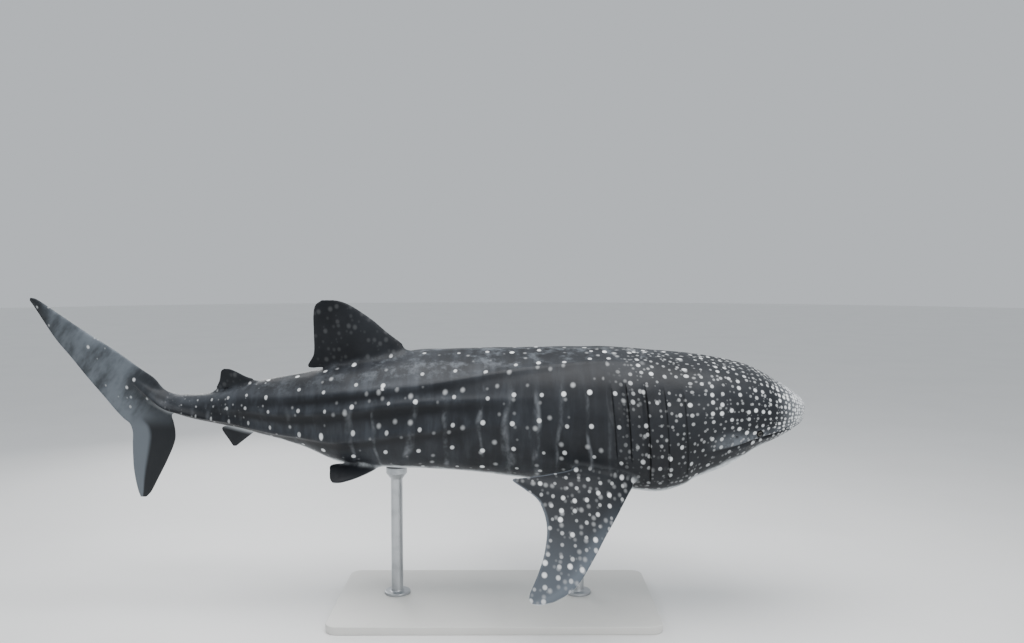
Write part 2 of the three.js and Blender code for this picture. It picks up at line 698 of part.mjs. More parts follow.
// A rod with a flange on the base and a wider pad that is cut to the belly's curve
function standRod(x) {
  const foot = BASE_THICKNESS + GAP;
  const belly = AXIS_HEIGHT + body.belly(SNOUT_X - x) * Math.cos(radians(BODY_ROLL));
  const { radius, height, chamfer } = ROD_FLANGE;
  const top = AXIS_HEIGHT - ROD_INSIDE - foot;
  const padFoot = belly - ROD_PAD.below - foot;
  const sketch = [
    [0, 0], [radius, 0], [radius, height - chamfer], [radius - chamfer, height],
    [ROD_RADIUS + ROD_FILLET, height], [ROD_RADIUS, height + ROD_FILLET],
    [ROD_RADIUS, padFoot - ROD_PAD.cone], [ROD_PAD.radius, padFoot], [ROD_PAD.radius, top], [0, top],
  ];
  const rod = new THREE.LatheGeometry(sketch.map((pair) => new THREE.Vector2(...pair)), ROD_SIDES);
  rod.rotateX(Math.PI / 2);
  rod.translate(x, ROD_SIDE, foot);
  const lay = new THREE.Matrix4().makeRotationX(radians(BODY_ROLL)).setPosition(0, 0, AXIS_HEIGHT);
  return toGeometry(toSolid(rod).subtract(toSolid(seatGeometry().applyMatrix4(lay))));
}

const shark = new THREE.Group();
shark.rotation.x = radians(BODY_ROLL);
shark.position.z = AXIS_HEIGHT;
const model = new THREE.Group();
model.add(shark);

function addMesh(parent, name, geometry, material) {
  const mesh = new THREE.Mesh(geometry, material);
  mesh.name = name;
  parent.add(mesh);
}

addMesh(shark, 'head_upper', upperHead(), SKIN_HEAD);
addMesh(shark, 'lower_jaw', lowerJaw(), SKIN_HEAD);
for (const { name, rings } of LENGTHS) {
  addMesh(shark, name, loft(partedRings(rings).map((at) => wholeRing(at)), WHOLE_TURN), SKIN_DARK);
}
addMesh(shark, 'dorsal_fin_first', seated(finGeometry(FIRST_DORSAL)), SKIN_FIN);
addMesh(shark, 'dorsal_fin_second', seated(finGeometry(SECOND_DORSAL)), SKIN_FIN);
addMesh(shark, 'anal_fin', seated(finGeometry(ANAL)), SKIN_FIN);
const blade = caudalBlade();
addMesh(shark, 'caudal_lobe_upper', toGeometry(blade.intersect(blockBesideParting(1))), SKIN_FIN);
addMesh(shark, 'caudal_lobe_lower', toGeometry(blade.intersect(blockBesideParting(-1))), SKIN_FIN);
for (const [sideName, side] of [['right', 1], ['left', -1]]) {
  addMesh(shark, `pectoral_fin_${sideName}`, pectoralFin(sideName), SKIN_FIN);
  addMesh(shark, `pelvic_fin_${sideName}`, pelvicFin(sideName), SKIN_FIN);
  addMesh(shark, `eye_${sideName}`, eyeBall(side), EYE_DARK);
  addMesh(shark, `nasal_barbel_${sideName}`, barbel(side), SKIN_HEAD);
}
addMesh(model, 'stand_base', standBase(), STAND_PAINT);
addMesh(model, 'stand_rod_front', standRod(FRONT_ROD_X), ROD_STEEL);
addMesh(model, 'stand_rod_rear', standRod(REAR_ROD_X), ROD_STEEL);

export default model;
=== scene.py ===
"""A whale shark about six metres long, as a still, life-size model on a display stand.

Metres, +X towards the snout, +Z up, the right flank towards -Y. The shark is worked out level,
with its back upwards, then rolled a little round its length and lifted on to its stand.
"""
import math

import bpy
import numpy as np
from mathutils import Matrix, Vector


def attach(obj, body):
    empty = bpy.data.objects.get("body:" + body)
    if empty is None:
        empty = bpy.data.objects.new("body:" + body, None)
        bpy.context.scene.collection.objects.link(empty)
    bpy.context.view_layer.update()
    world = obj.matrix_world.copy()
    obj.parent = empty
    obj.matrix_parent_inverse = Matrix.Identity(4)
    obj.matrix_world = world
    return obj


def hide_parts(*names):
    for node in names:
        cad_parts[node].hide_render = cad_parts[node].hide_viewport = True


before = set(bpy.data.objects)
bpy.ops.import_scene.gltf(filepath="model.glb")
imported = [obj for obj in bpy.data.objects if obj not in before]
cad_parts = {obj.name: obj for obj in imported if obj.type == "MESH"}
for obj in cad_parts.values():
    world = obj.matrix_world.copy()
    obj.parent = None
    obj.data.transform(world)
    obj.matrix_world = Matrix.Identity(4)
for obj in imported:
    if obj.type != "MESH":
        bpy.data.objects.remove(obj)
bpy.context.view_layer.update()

bl_info = {
    "name": "Whale shark on a display stand",
    "version": (1, 0, 0),
    "blender": (4, 5, 0),
    "location": "3D View > Sidebar > Whale shark",
    "description": "Builds a life-size whale shark model, its stand and a plain studio",
    "category": "Add Mesh",
}

# Sizes of the body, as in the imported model

SNOUT_X = 2.323
AXIS_HEIGHT = 1.5
BODY_ROLL = math.radians(9.0)
CORE_END = 5.230
BEND_START = 2.629
BEND_LENGTH = 2.154
BEND_SIDE = 0.2154

# Distance behind the snout, level of the back, of the belly and of the widest place, half width
OUTLINE = np.array([
    (0.000, -0.038, -0.038, -0.038, 0.000),
    (0.030, 0.090, -0.074, -0.012, 0.135),
    (0.090, 0.139, -0.095, -0.002, 0.225),
    (0.200, 0.209, -0.150, 0.010, 0.325),
    (0.430, 0.333, -0.262, 0.020, 0.430),
    (0.560, 0.367, -0.358, 0.014, 0.461),
    (0.770, 0.407, -0.455, 0.000, 0.495),
    (1.180, 0.452, -0.597, -0.040, 0.530),
    (1.550, 0.468, -0.548, -0.020, 0.525),
    (2.100, 0.470, -0.490, 0.000, 0.505),
    (2.800, 0.460, -0.428, 0.010, 0.450),
    (3.400, 0.362, -0.424, 0.000, 0.345),
    (3.820, 0.258, -0.280, -0.010, 0.245),
    (4.250, 0.172, -0.188, 0.000, 0.165),
    (4.600, 0.070, -0.134, -0.028, 0.112),
    (4.830, 0.052, -0.088, -0.018, 0.090),
    (5.050, 0.130, 0.010, 0.070, 0.060),
    (CORE_END, 0.240, 0.160, 0.200, 0.022),
])
SNOUT_LEVEL = OUTLINE[0, 1]
SQUARENESS_HEAD = 2.5
SQUARENESS_TRUNK = 2.2
SNOUT_LEAN = 0.22
SNOUT_LEAN_FADE = 0.260
NO_LENGTH = 1e-6

# Distance behind the snout, then degrees down from the middle of the back of the upper, middle
# and lower ridge and the mouth line, and the half width of the lips
LINES = np.array([
    (0.000, 20, 55, 90, 110, 4),
    (0.900, 20, 56, 90, 110, 4),
    (1.500, 24, 59, 88, 112, 8),
    (2.260, 38, 63, 84, 112, 9),
    (2.930, 53, 68, 95, 118, 9),
    (3.500, 56, 77, 109, 130, 9),
    (4.100, 58, 84, 120, 139, 8),
    (4.500, 50, 78, 108, 130, 9),
    (4.830, 45, 70, 97, 120, 9),
    (CORE_END, 45, 70, 95, 120, 9),
])
# Distance behind the snout, then the height of the back, upper, middle and lower ridge
RIDGES = np.array([
    (0.000, 0.000, 0.000, 0.000, 0.000),
    (1.000, 0.000, 0.000, 0.000, 0.000),
    (1.600, 0.010, 0.014, 0.000, 0.000),
    (2.400, 0.010, 0.018, 0.014, 0.006),
    (3.000, 0.000, 0.020, 0.019, 0.018),
    (3.800, 0.008, 0.018, 0.018, 0.024),
    (4.350, 0.000, 0.004, 0.012, 0.036),
    (4.700, 0.000, 0.000, 0.003, 0.055),
    (4.900, 0.000, 0.000, 0.000, 0.046),
    (5.080, 0.000, 0.000, 0.000, 0.006),
    (CORE_END, 0.000, 0.000, 0.000, 0.000),
])
RIDGE_WIDTH = 0.042
KEEL_WIDTH = 0.030
# Strength, distance below the crest and width of the painted highlight band and of the painted shade band,
# as light from above gives on each ridge
RIDGE_PAINTED_HIGHLIGHT = (0.9, -0.030, 0.050)
RIDGE_PAINTED_SHADE = (0.8, 0.045, 0.038)
RIDGE_SHARES = (("upper", 1.0), ("middle", 1.0), ("lower", 0.8))

MOUTH_START = 0.020
MOUTH_CORNER = 0.340
MOUTH_FADE = 0.480
MOUTH_GROOVE = 0.017
MOUTH_CREASE = 0.006
LIP_SWELL = 0.007
LIP_SHARPNESS = 1.5

# Distance behind the snout, degrees of the upper and of the lower end, and how far the slit opens
GILL_SLITS = (
    (0.955, 54, 126, 0.45),
    (1.088, 52, 128, 0.60),
    (1.220, 50, 126, 1.00),
    (1.355, 48, 107, 1.00),
    (1.460, 52, 106, 0.60),
)
GILL_STEP = 0.020
FLAP_SWELL = 0.007
SLIT_WIDTH = 0.007
SLIT_FLOOR = 0.003
FLAP_START = (-0.070, -0.002)
FLAP_RISE = 0.050
GILL_LEAN = 0.045
GILL_FADE_IN = (0.850, 0.960)
GILL_FADE_OUT = (1.470, 1.560)
SLIT_SHADE_START = (0.0, 0.004)
SLIT_SHADE_END = (0.006, 0.014)

# Distance behind the snout and degrees from the back
EYE_PLACE = (0.425, 102.0)
EYE_RADIUS = 0.025
EYE_SUNK = 0.014
CORNEA_SWELL = 0.045
CORNEA_WIDTH = 0.5
SOCKET_DEPTH = 0.016
SOCKET_EDGE = (0.014, 0.027)
SOCKET_SHADE_EDGE = (0.022, 0.030)
# Height, distance from the eye's middle and width of the rim and of the fold round it
EYE_RIM = (0.0065, 0.033, 0.0075)
EYE_FOLD = (0.0025, 0.052, 0.006)
# Distance behind the snout, degrees from the back, half length, half height and depth
SPIRACLE = (0.600, 99.0, 0.013, 0.008, 0.011)
NOSTRIL = (0.205, 105.0, 0.018, 0.009, 0.016)
# Height of the rim, and its distance and width in half axes of the hollow
HOLLOW_RIM = (0.0025, 1.35, 0.3)
HOLLOW_EDGE = (0.3, 1.05)
HOLLOW_SHADE_EDGE = (0.45, 1.0)
FEATURE_REACH = 0.15
OUT_OF_REACH = 100.0
BARBEL_PLACE = (0.185, 104.0)
BARBEL_RADIUS = 0.010
BARBEL_FLATNESS = 0.62
BARBEL_SUNK = 0.010
BARBEL_REACH = 0.026
BARBEL_DROOP = 0.022

# Waves of the skin: radians per metre along and per radian round, phase and share of the height
SKIN_WAVES = (
    (7.1, 2.0, 0.0, 1.0),
    (12.7, -3.1, 1.3, 1.0),
    (23.0, 5.0, 0.4, 0.7),
)
WAVE_HEIGHT = 0.0011

# Lines of the skin's grid between the back, the ridges, the mouth's band and the belly
LINE_COUNTS = (16, 12, 14, 3, 30, 15)
# Rings beside each gill slit, behind its place
SLIT_RING_STEPS = (-0.003, 0.0, 0.0035, 0.007, 0.011)
RING_CLEARANCE = 0.0035
UNWRAP_ROUNDS = 40

# Where the paired fins grow, with the rise and swing of their chord and the fall of their span
PECTORAL_ROOT = (SNOUT_X - 1.303, -0.438, -0.386)
PECTORAL_PITCH = 14
PECTORAL_TOE = 4
PECTORAL_DROOP_RIGHT = 40
PECTORAL_DROOP_LEFT = 26
PELVIC_ROOT = (3.170, 148.0)
PELVIC_PITCH = 4
PELVIC_TOE = -6
PELVIC_DROOP = 31

# Number of the tail fin among the fins, and where the skin of the body's end takes its colours
CAUDAL_NUMBER = 3
TAIL_FADE = (4.84, 5.10)
# Height over the body within which the colours of a fin set in
FIN_FADE = 0.045
# Place in the attribute fin_kind of each fin with markings of its own
FIN_KINDS = {"pectoral": 0, "dorsal_first": 1, "dorsal_second": 1, "caudal": 2}
FACING_DOWN = (-0.25, 0.25)
BARBEL_CHARTS = ((1, (0.78, 0.83, 0.80, 0.85)), (-1, (0.78, 0.87, 0.80, 0.89)))
# More than the number of pieces that are joined in the skin
PIECE_TAGS = 12
# Fillets: reach at the barbels, share of the reach at full strength, rounds and points at a time
BARBEL_FILLET = 0.007
FILLET_CORE = 0.15
SOFTENING_ROUNDS = 70
JOINT_BATCH = 64

# Distances behind the snout of the upright rows of pale spots, from the gills to the tail
SPOT_ROWS = (1.21, 1.39, 1.571, 1.76, 1.94, 2.12, 2.317, 2.549, 2.785, 3.037, 3.267, 3.525, 3.72,
             3.975, 4.153, 4.295, 4.433, 4.57, 4.70, 4.83, 4.96, 5.09, 5.22)
FRONT_ROW_LENGTH = 0.19
BELLY_ROW_DEGREES = 25.0
HEAD_SPOT_COUNT = 6.6
FIN_SPOT_SPACING = 0.084

# Flat base and turned rods of the stand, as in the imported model
BASE_LENGTH = 2.400
BASE_WIDTH = 1.200
BASE_THICKNESS = 0.060
BASE_CORNER = 0.090
BASE_BEVEL = 0.008
ROD_SIDES = 72
ROD_RADIUS = 0.045
ROD_FLANGE = 0.100
ROD_FLANGE_HEIGHT = 0.020
ROD_FLANGE_ROUND = 0.006
ROD_FLANGE_FILLET = 0.012
ROD_PAD = 0.080
ROD_SIDE = 0.075
ROD_PLACES = {"stand_rod_front": 0.640, "stand_rod_rear": -0.760}
ROD_INSIDE = 0.200
PAD_BELOW = 0.080
PAD_CONE = 0.040
PAD_GROOVE = 0.003
BASE_SHARP_DEGREES = 30
ROD_SHARP_DEGREES = 35
GAP = 0.0003

# Parts of the square chart of a mesh, and how far a pointed end lies past its last row there
WHOLE_CHART = (0.02, 0.02, 0.98, 0.98)
BODY_CHART = (0.01, 0.01, 0.99, 0.60)
TIP_STEP = 0.002

FLOOR_RADIUS = 60.0
FLOOR_LEVEL = -0.0005

# Camera, at the viewing angle of the picture
CAMERA_TARGET = (-0.6, 0.0, 1.5)
TARGET_PIXEL = (416.0, 410.0)
IMAGE_SIZE = (1024.0, 643.0)
FOCAL_PIXELS = 900.0
CAMERA_AZIMUTH = math.radians(6.0)
CAMERA_ELEVATION = math.radians(9.0)
CAMERA_DISTANCE = 6.9
SENSOR_WIDTH = 36.0

# Name, place, aim, size and share of the power of each lamp
LAMPS = (
    ("lamp_above", (0.0, -0.6, 6.2), (0.0, 0.0, 1.5), (8.0, 4.0), 1.0),
    ("lamp_front", (3.5, -6.5, 3.6), (0.2, 0.0, 1.4), (3.0, 3.0), 0.30),
    ("lamp_behind", (-4.0, 6.0, 4.0), (-0.5, 0.0, 1.6), (3.0, 3.0), 0.30),
)
SKY_STRENGTH = 0.88


def linear(red, green, blue):
    """Screen colour from 0 to 255 as the linear values that a shader takes."""
    values = []
    for part in (red, green, blue):
        part = part / 255.0
        values.append(part / 12.92 if part <= 0.04045 else ((part + 0.055) / 1.055) ** 2.4)
    return (*values, 1.0)


def smoothstep(value, low, high):
    """0 below low, 1 above high and the cubic 3t^2 - 2t^3 between them."""
    t = np.clip((value - low) / (high - low), 0.0, 1.0)
    return t * t * (3.0 - 2.0 * t)


def blend(a, b, share):
    """a where share is 0, b where it is 1, in proportion between."""
    return a + (b - a) * share


def bell(away, height, place, width):
    """A bell curve of that height and width round the place."""
    return height * np.exp(-(((away - place) / width) ** 2))


def station_curve(stations, column):
    """A cubic through stations over the square root of the distance behind the snout.

    The slope at a station is the harmonic mean of the slopes beside it, and 0 where they have
    different signs, so the curve never swings past a station.
    """
    x = np.sqrt(stations[:, 0])
    y = stations[:, column]
    step = np.diff(x)
    slope = np.diff(y) / step
    tangent = np.zeros(len(y))
    tangent[0] = slope[0]
    tangent[-1] = slope[-1]
    before = step[:-1]
    after = step[1:]
    with np.errstate(divide="ignore", invalid="ignore"):
        mean = 3 * (before + after) / ((2 * after + before) / slope[:-1] + (after + 2 * before) / slope[1:])
    tangent[1:-1] = np.where(slope[:-1] * slope[1:] > 0, mean, 0.0)

    def curve(at):
        place = np.sqrt(np.clip(at, 0.0, CORE_END))
        i = np.clip(np.searchsorted(x, place) - 1, 0, len(step) - 1)
        t = (place - x[i]) / step[i]
        near = (1 + 2 * t) * (1 - t) ** 2 * y[i] + t * (1 - t) ** 2 * step[i] * tangent[i]
        far = t * t * (3 - 2 * t) * y[i + 1] + t * t * (t - 1) * step[i] * tangent[i + 1]
        return near + far

    return curve


back_level, belly_level, wide_level, half_width = [station_curve(OUTLINE, c) for c in (1, 2, 3, 4)]
upper_line, middle_line, lower_line = [station_curve(LINES, c) for c in (1, 2, 3)]
mouth_line, lip_width = [station_curve(LINES, c) for c in (4, 5)]
back_ridge, upper_ridge, middle_ridge, lower_ridge = [station_curve(RIDGES, c) for c in (1, 2, 3, 4)]


def bend(at):
    """Swing of the rear body to the left, a parabola from the start of the bend."""
    return BEND_SIDE * (np.maximum(at - BEND_START, 0.0) / BEND_LENGTH) ** 2


def girth_radius(at):
    """Mean radius of the section: the mean of its half width and half height."""
    return (half_width(at) + (back_level(at) - belly_level(at)) / 2.0) / 2.0


def ridge_height(at, degrees):
    """Each ridge is height / (1 + (distance from its crest / width)^2)^2."""
    girth = girth_radius(at)
    keel = blend(RIDGE_WIDTH, KEEL_WIDTH, smoothstep(at, 3.6, 4.5))
    height = 0.0
    ridges = (
        (back_ridge, 0.0, RIDGE_WIDTH),
        (upper_ridge, upper_line(at), RIDGE_WIDTH),
        (middle_ridge, middle_line(at), RIDGE_WIDTH),
        (lower_ridge, lower_line(at), keel),
    )
    for crest, place, width in ridges:
        away = girth * np.radians(degrees - place) / width
        height = height + crest(at) / (1.0 + away * away) ** 2
    return height


def slit_window(degrees, top, bottom):
    """1 between the ends of a gill slit, fading over a few degrees round them."""
    return smoothstep(degrees, top - 5, top + 4) * (1.0 - smoothstep(degrees, bottom - 4, bottom + 5))


def gill_height(at, degrees):
    """The skin swells towards each slit, drops by a step there and rises again behind it."""
    height = 0.0
    for place, top, bottom, opening in GILL_SLITS:
        past = at - place
        swell = FLAP_SWELL * smoothstep(past, *FLAP_START)
        drop = smoothstep(past, 0.0, SLIT_WIDTH)
        rise = smoothstep(past, SLIT_WIDTH + SLIT_FLOOR, SLIT_WIDTH + FLAP_RISE)
        behind = FLAP_SWELL * (1.0 - drop) - (GILL_STEP - FLAP_SWELL) * drop * (1.0 - rise)
        flap = np.where(past <= 0.0, swell, behind)
        height = height + opening * slit_window(degrees, top, bottom) * flap
    return height


def mouth_distance(at, degrees):
    """Distance on the skin from the mouth line."""
    return np.abs(np.radians(degrees - mouth_line(at))) * girth_radius(at)


def mouth_strength(at):
    """1 along the mouth, fading behind its corner."""
    return 1.0 - smoothstep(at, MOUTH_CORNER, MOUTH_CORNER + MOUTH_FADE)


def mouth_height(at, degrees):
    """Two lips swell beside a sharp crease, less and less behind the corner of the mouth."""
    strength = mouth_strength(at) * smoothstep(at, 0.0, MOUTH_START)
    away = np.abs(degrees - mouth_line(at)) / lip_width(at)
    lips = LIP_SWELL * np.exp(-LIP_SHARPNESS * (away - 1.0) ** 2)
    crease = -MOUTH_GROOVE * np.exp(-mouth_distance(at, degrees) / MOUTH_CREASE)
    return strength * (lips + crease)


def section(at, degrees):
    """Sideways and upright reach of the plain section: a rounded square of the given exponent."""
    turn = np.radians(degrees)
    power = blend(SQUARENESS_HEAD, SQUARENESS_TRUNK, smoothstep(at, 0.5, 1.6))
    cosine = np.cos(turn)
    sine = np.sin(turn)
    reach = (np.abs(cosine) ** power + np.abs(sine) ** power) ** (-1.0 / power)
    level = wide_level(at)
    height = np.where(cosine > 0, back_level(at) - level, level - belly_level(at))
    return half_width(at) * sine * reach, height * cosine * reach


def snout_lean(at, level):
    """How far forward the skin leans at the snout, where the upper lip passes the chin."""
    return SNOUT_LEAN * np.exp(-at / SNOUT_LEAN_FADE) * (level - SNOUT_LEVEL)


def gill_slant(at, degrees):
    """How far back the skin slants at the gills, whose upper ends lie behind their lower ones."""
    gills = smoothstep(at, *GILL_FADE_IN) * (1.0 - smoothstep(at, *GILL_FADE_OUT))
    return GILL_LEAN * gills * np.cos(np.radians(degrees))


def skin_point(at, degrees, side, raised):
    """The point of the section at that angle, moved out by the raised height, then leaned."""
    across, up = section(at, degrees)
    length = np.maximum(np.hypot(across, up), NO_LENGTH)
    far = 1.0 + raised / length
    top = wide_level(at) + up * far
    ahead = SNOUT_X - at + snout_lean(at, top) - gill_slant(at, degrees)
    return np.stack([ahead, bend(at) - side * across * far, top], axis=-1)


def local_frame(place, degrees, side):
    """A point of the plain skin with the directions back along it, round it and out of it."""
    at = np.array([place, place + 0.004, place - 0.004, place, place])
    angle = np.array([degrees, degrees, degrees, degrees + 0.5, degrees - 0.5])
    raised = ridge_height(at, angle) + mouth_height(at, angle)
    points = skin_point(at, angle, side, raised)
    along = points[1] - points[2]
    along /= np.linalg.norm(along)
    round_it = points[3] - points[4]
    out = np.cross(along, round_it)
    out /= np.linalg.norm(out)
    if out[1] * side > 0:
        out = -out
    round_it = np.cross(out, along)
    return points[0], along, round_it, out


def oval_distance(points, place, degrees, half_length, half_height, side):
    """Distance from a place of the skin, in units of an oval's half axes."""
    centre, along, round_it, out = local_frame(place, degrees, side)
    offset = points - centre
    flat = np.hypot(offset @ along / half_length, offset @ round_it / half_height)
    return flat + (np.abs(offset @ out) > FEATURE_REACH) * OUT_OF_REACH


def feature_height(points, side):
    """Eye sockets with a raised rim and a low fold round it, nostrils and spiracles as hollows,
    and the depth of the shade in them."""
    height = np.zeros(points.shape[:-1])
    crease = np.zeros(points.shape[:-1])
    for sign in (1, -1):
        here = side == sign
        around = oval_distance(points, *EYE_PLACE, 1.0, 1.0, sign)
        socket = -SOCKET_DEPTH * (1.0 - smoothstep(around, *SOCKET_EDGE))
        height += here * (bell(around, *EYE_RIM) + bell(around, *EYE_FOLD) + socket)
        crease += here * (1.0 - smoothstep(around, *SOCKET_SHADE_EDGE))
        for place, degrees, half_length, half_height, depth in (SPIRACLE, NOSTRIL):
            away = oval_distance(points, place, degrees, half_length, half_height, sign)
            hollow = depth * (1.0 - smoothstep(away, *HOLLOW_EDGE))
            height += here * (bell(away, *HOLLOW_RIM) - hollow)
            crease += here * (1.0 - smoothstep(away, *HOLLOW_SHADE_EDGE))
    return height, crease


def skin_waves(at, degrees, side):
    """Low, slow undulation of the skin, a sum of a few sines, flat towards the snout."""
    turn = np.radians(degrees) * side
    waves = 0.0
    for along, round_it, phase, share in SKIN_WAVES:
        waves = waves + share * np.sin(along * at + round_it * turn + phase)
    return WAVE_HEIGHT * waves * smoothstep(at, 0.3, 1.2)


def full_relief(at, degrees, side):
    """All that rises from or sinks into the plain section, and how dark the painted shade in its hollows is.
    """
    plain = ridge_height(at, degrees)
    points = skin_point(at, degrees, side, plain)
    features, crease = feature_height(points, side)
    height = plain + gill_height(at, degrees) + mouth_height(at, degrees) + features
    return height + skin_waves(at, degrees, side), crease


def unwrap(points):
    """Distance behind the snout, degrees from the back, side and height over the plain section.

    The lean and the slant are taken back by going round the forward formula until it settles.
    """
    x, y, z = points.T
    at = np.clip(SNOUT_X - x, 0.0, CORE_END)
    for _ in range(UNWRAP_ROUNDS):
        level = wide_level(at)
        above = z - level
        height = np.where(above > 0, back_level(at) - level, level - belly_level(at))
        across = bend(at) - y
        degrees = np.degrees(np.arctan2(np.abs(across) / np.maximum(half_width(at), 1e-4),
                                        above / np.maximum(height, 1e-4)))
        found = SNOUT_X - x + snout_lean(at, z) - gill_slant(at, degrees)
        at = np.clip(0.3 * at + 0.7 * found, 0.0, CORE_END)
    side = np.where(across < 0, -1.0, 1.0)
    plain_across, plain_up = section(at, degrees)
    excess = np.hypot(across, above) - np.hypot(plain_across, plain_up)
    return at, degrees, side, excess


# Meshes

def ring_places():
    """Distances behind the snout of the rings, closest at the snout, the eyes and the gills."""
    parts = [
        np.linspace(0.0, math.sqrt(0.1), 28)[1:] ** 2,
        np.arange(0.109, 0.357, 0.009),
        np.arange(0.362, 0.490, 0.005),
        np.arange(0.494, 0.930, 0.009),
        np.arange(0.930, 1.525, 0.009),
        np.linspace(1.530, 4.900, 164),
        np.linspace(4.920, CORE_END, 16),
    ]
    rings = np.concatenate(parts)
    places = np.array([slit[0] for slit in GILL_SLITS])
    edges = (places[:, None] + np.array(SLIT_RING_STEPS)[None, :]).ravel()
    clear = np.min(np.abs(rings[:, None] - edges[None, :]), axis=1) > RING_CLEARANCE
    return np.sort(np.concatenate([rings[clear], edges]))


def ring_angles(at):
    """Degrees of the lines on the right side of each ring, from the back to the belly.

    Lines run along the ridges, and they lie closest beside the eyes and the mouth.
    """
    lower = lower_line(at)
    rear = smoothstep(at, 0.9, 1.7)
    band_start = blend(95.0, lower + 4.0, rear)
    band_end = blend(117.0, lower + (180.0 - lower) * 0.62, rear)
    zero = np.zeros_like(at)
    anchors = [zero, upper_line(at), middle_line(at), lower, band_start, band_end, zero + 180.0]
    columns = []
    for k, count in enumerate(LINE_COUNTS):
        share = np.arange(count) / count
        columns.append(anchors[k][:, None] + (anchors[k + 1] - anchors[k])[:, None] * share)
    columns.append(anchors[-1][:, None])
    return np.concatenate(columns, axis=1)


def grid_faces(rows, columns):
    """Quads of a grid that closes on itself round the columns, and its row and column numbers."""
    index = np.arange(rows * columns).reshape(rows, columns)
    near = index[:-1]
    far = index[1:]
    quads = np.stack([near, np.roll(near, -1, 1), np.roll(far, -1, 1), far], axis=-1)
    i, j = np.meshgrid(np.arange(rows - 1), np.arange(columns), indexing="ij")
    corner_rows = np.stack([i, i, i + 1, i + 1], axis=-1)
    corner_columns = np.stack([j, j + 1, j + 1, j], axis=-1)
    return quads.reshape(-1, 4), corner_rows.reshape(-1, 4), corner_columns.reshape(-1, 4)


class Shell:
    """Closed grid of points with a chart of its own, kept as arrays until it becomes a mesh.

    An end runs to its tip if it has one, and otherwise closes with one flat face.
    """

    def __init__(self, points, chart_rows, chart_columns, chart, first_tip=None, last_tip=None):
        rows, columns, _ = points.shape
        quads, corner_rows, corner_columns = grid_faces(rows, columns)
        x0, y0, x1, y1 = chart
        chart_x = x0 + (x1 - x0) * chart_rows
        chart_y = y0 + (y1 - y0) * chart_columns
        self.points = points.reshape(-1, 3)
        self.faces = quads.tolist()
        corners = [np.stack([chart_x[corner_rows], chart_y[corner_columns]], axis=-1).reshape(-1, 2)]
        ends = ((0, first_tip, True), (rows - 1, last_tip, False))
        for row, tip, turned in ends:
            ring = np.arange(columns) + row * columns
            after = np.roll(ring, -1)
            if tip is None:
                self.faces.append((ring[::-1] if turned else ring).tolist())
                order = np.arange(columns)[::-1] if turned else np.arange(columns)
                corners.append(np.stack([np.full(columns, chart_x[row]), chart_y[order]], axis=-1))
                continue
            centre = len(self.points)
            self.points = np.concatenate([self.points, np.array([tip])])
            middle = np.full(columns, centre)
            fan = np.stack([middle, after, ring], -1) if turned else np.stack([middle, ring, after], -1)
            self.faces.extend(fan.tolist())
            j = np.arange(columns)
            y_mid = (chart_y[j] + chart_y[j + 1]) / 2.0
            ends_y = (chart_y[j + 1], chart_y[j]) if turned else (chart_y[j], chart_y[j + 1])
            x_here = np.full(columns, chart_x[row])
            beyond = -TIP_STEP if turned else TIP_STEP
            tip_x = np.full(columns, chart_x[row] + beyond * abs(x1 - x0))
            fan_corners = [(tip_x, y_mid), (x_here, ends_y[0]), (x_here, ends_y[1])]
            pairs = [np.stack(pair, axis=-1) for pair in fan_corners]
            corners.append(np.stack(pairs, axis=1).reshape(-1, 2))
        self.corners = np.concatenate(corners)
        self.tag = 0


def signed_volume(points, faces):
    """A sixth of the sum of a . (b x c) over the triangles of all faces with 3 or 4 corners."""
    total = 0.0
    for size in (3, 4):
        chosen = np.array([face for face in faces if len(face) == size])
        if len(chosen) == 0:
            continue
        for k in range(1, size - 1):
            a, b, c = points[chosen[:, 0]], points[chosen[:, k]], points[chosen[:, k + 1]]
            total += np.einsum("ij,ij->", a, np.cross(b, c))
    return total / 6.0


def shells_to_mesh(name, shells):
    """Joins shells in one mesh, with their charts as a UV map and their tags as materials."""
    points = []
    faces = []
    corners = []
    tags = []
    start = 0
    for shell in shells:
        shell_faces = shell.faces
        shell_corners = shell.corners
        if signed_volume(shell.points, shell_faces) < 0:
            sizes = np.array([len(face) for face in shell_faces])
            ends = np.cumsum(sizes)
            backwards = [np.arange(end - 1, end - size - 1, -1) for end, size in zip(ends, sizes)]
            order = np.concatenate(backwards)
            shell_faces = [face[::-1] for face in shell_faces]
            shell_corners = shell_corners[order]
        points.append(shell.points)
        faces.extend([[corner + start for corner in face] for face in shell_faces])
        corners.append(shell_corners)
        tags.extend([shell.tag] * len(shell_faces))
        start += len(shell.points)
    mesh = bpy.data.meshes.new(name)
    mesh.from_pydata(np.concatenate(points).tolist(), [], faces)
    layer = mesh.uv_layers.new(name="OFBake")
    layer.data.foreach_set("uv", np.concatenate(corners).astype(np.float32).ravel())
    for tag in range(PIECE_TAGS):
        mesh.materials.append(tag_material(tag))
    mesh.polygons.foreach_set("material_index", tags)
    mesh.update()
    return mesh


def tag_material(tag):
    """A bare material that only marks which piece a face came from while pieces are joined."""
    name = f"piece_{tag}"
    return bpy.data.materials.get(name) or bpy.data.materials.new(name)


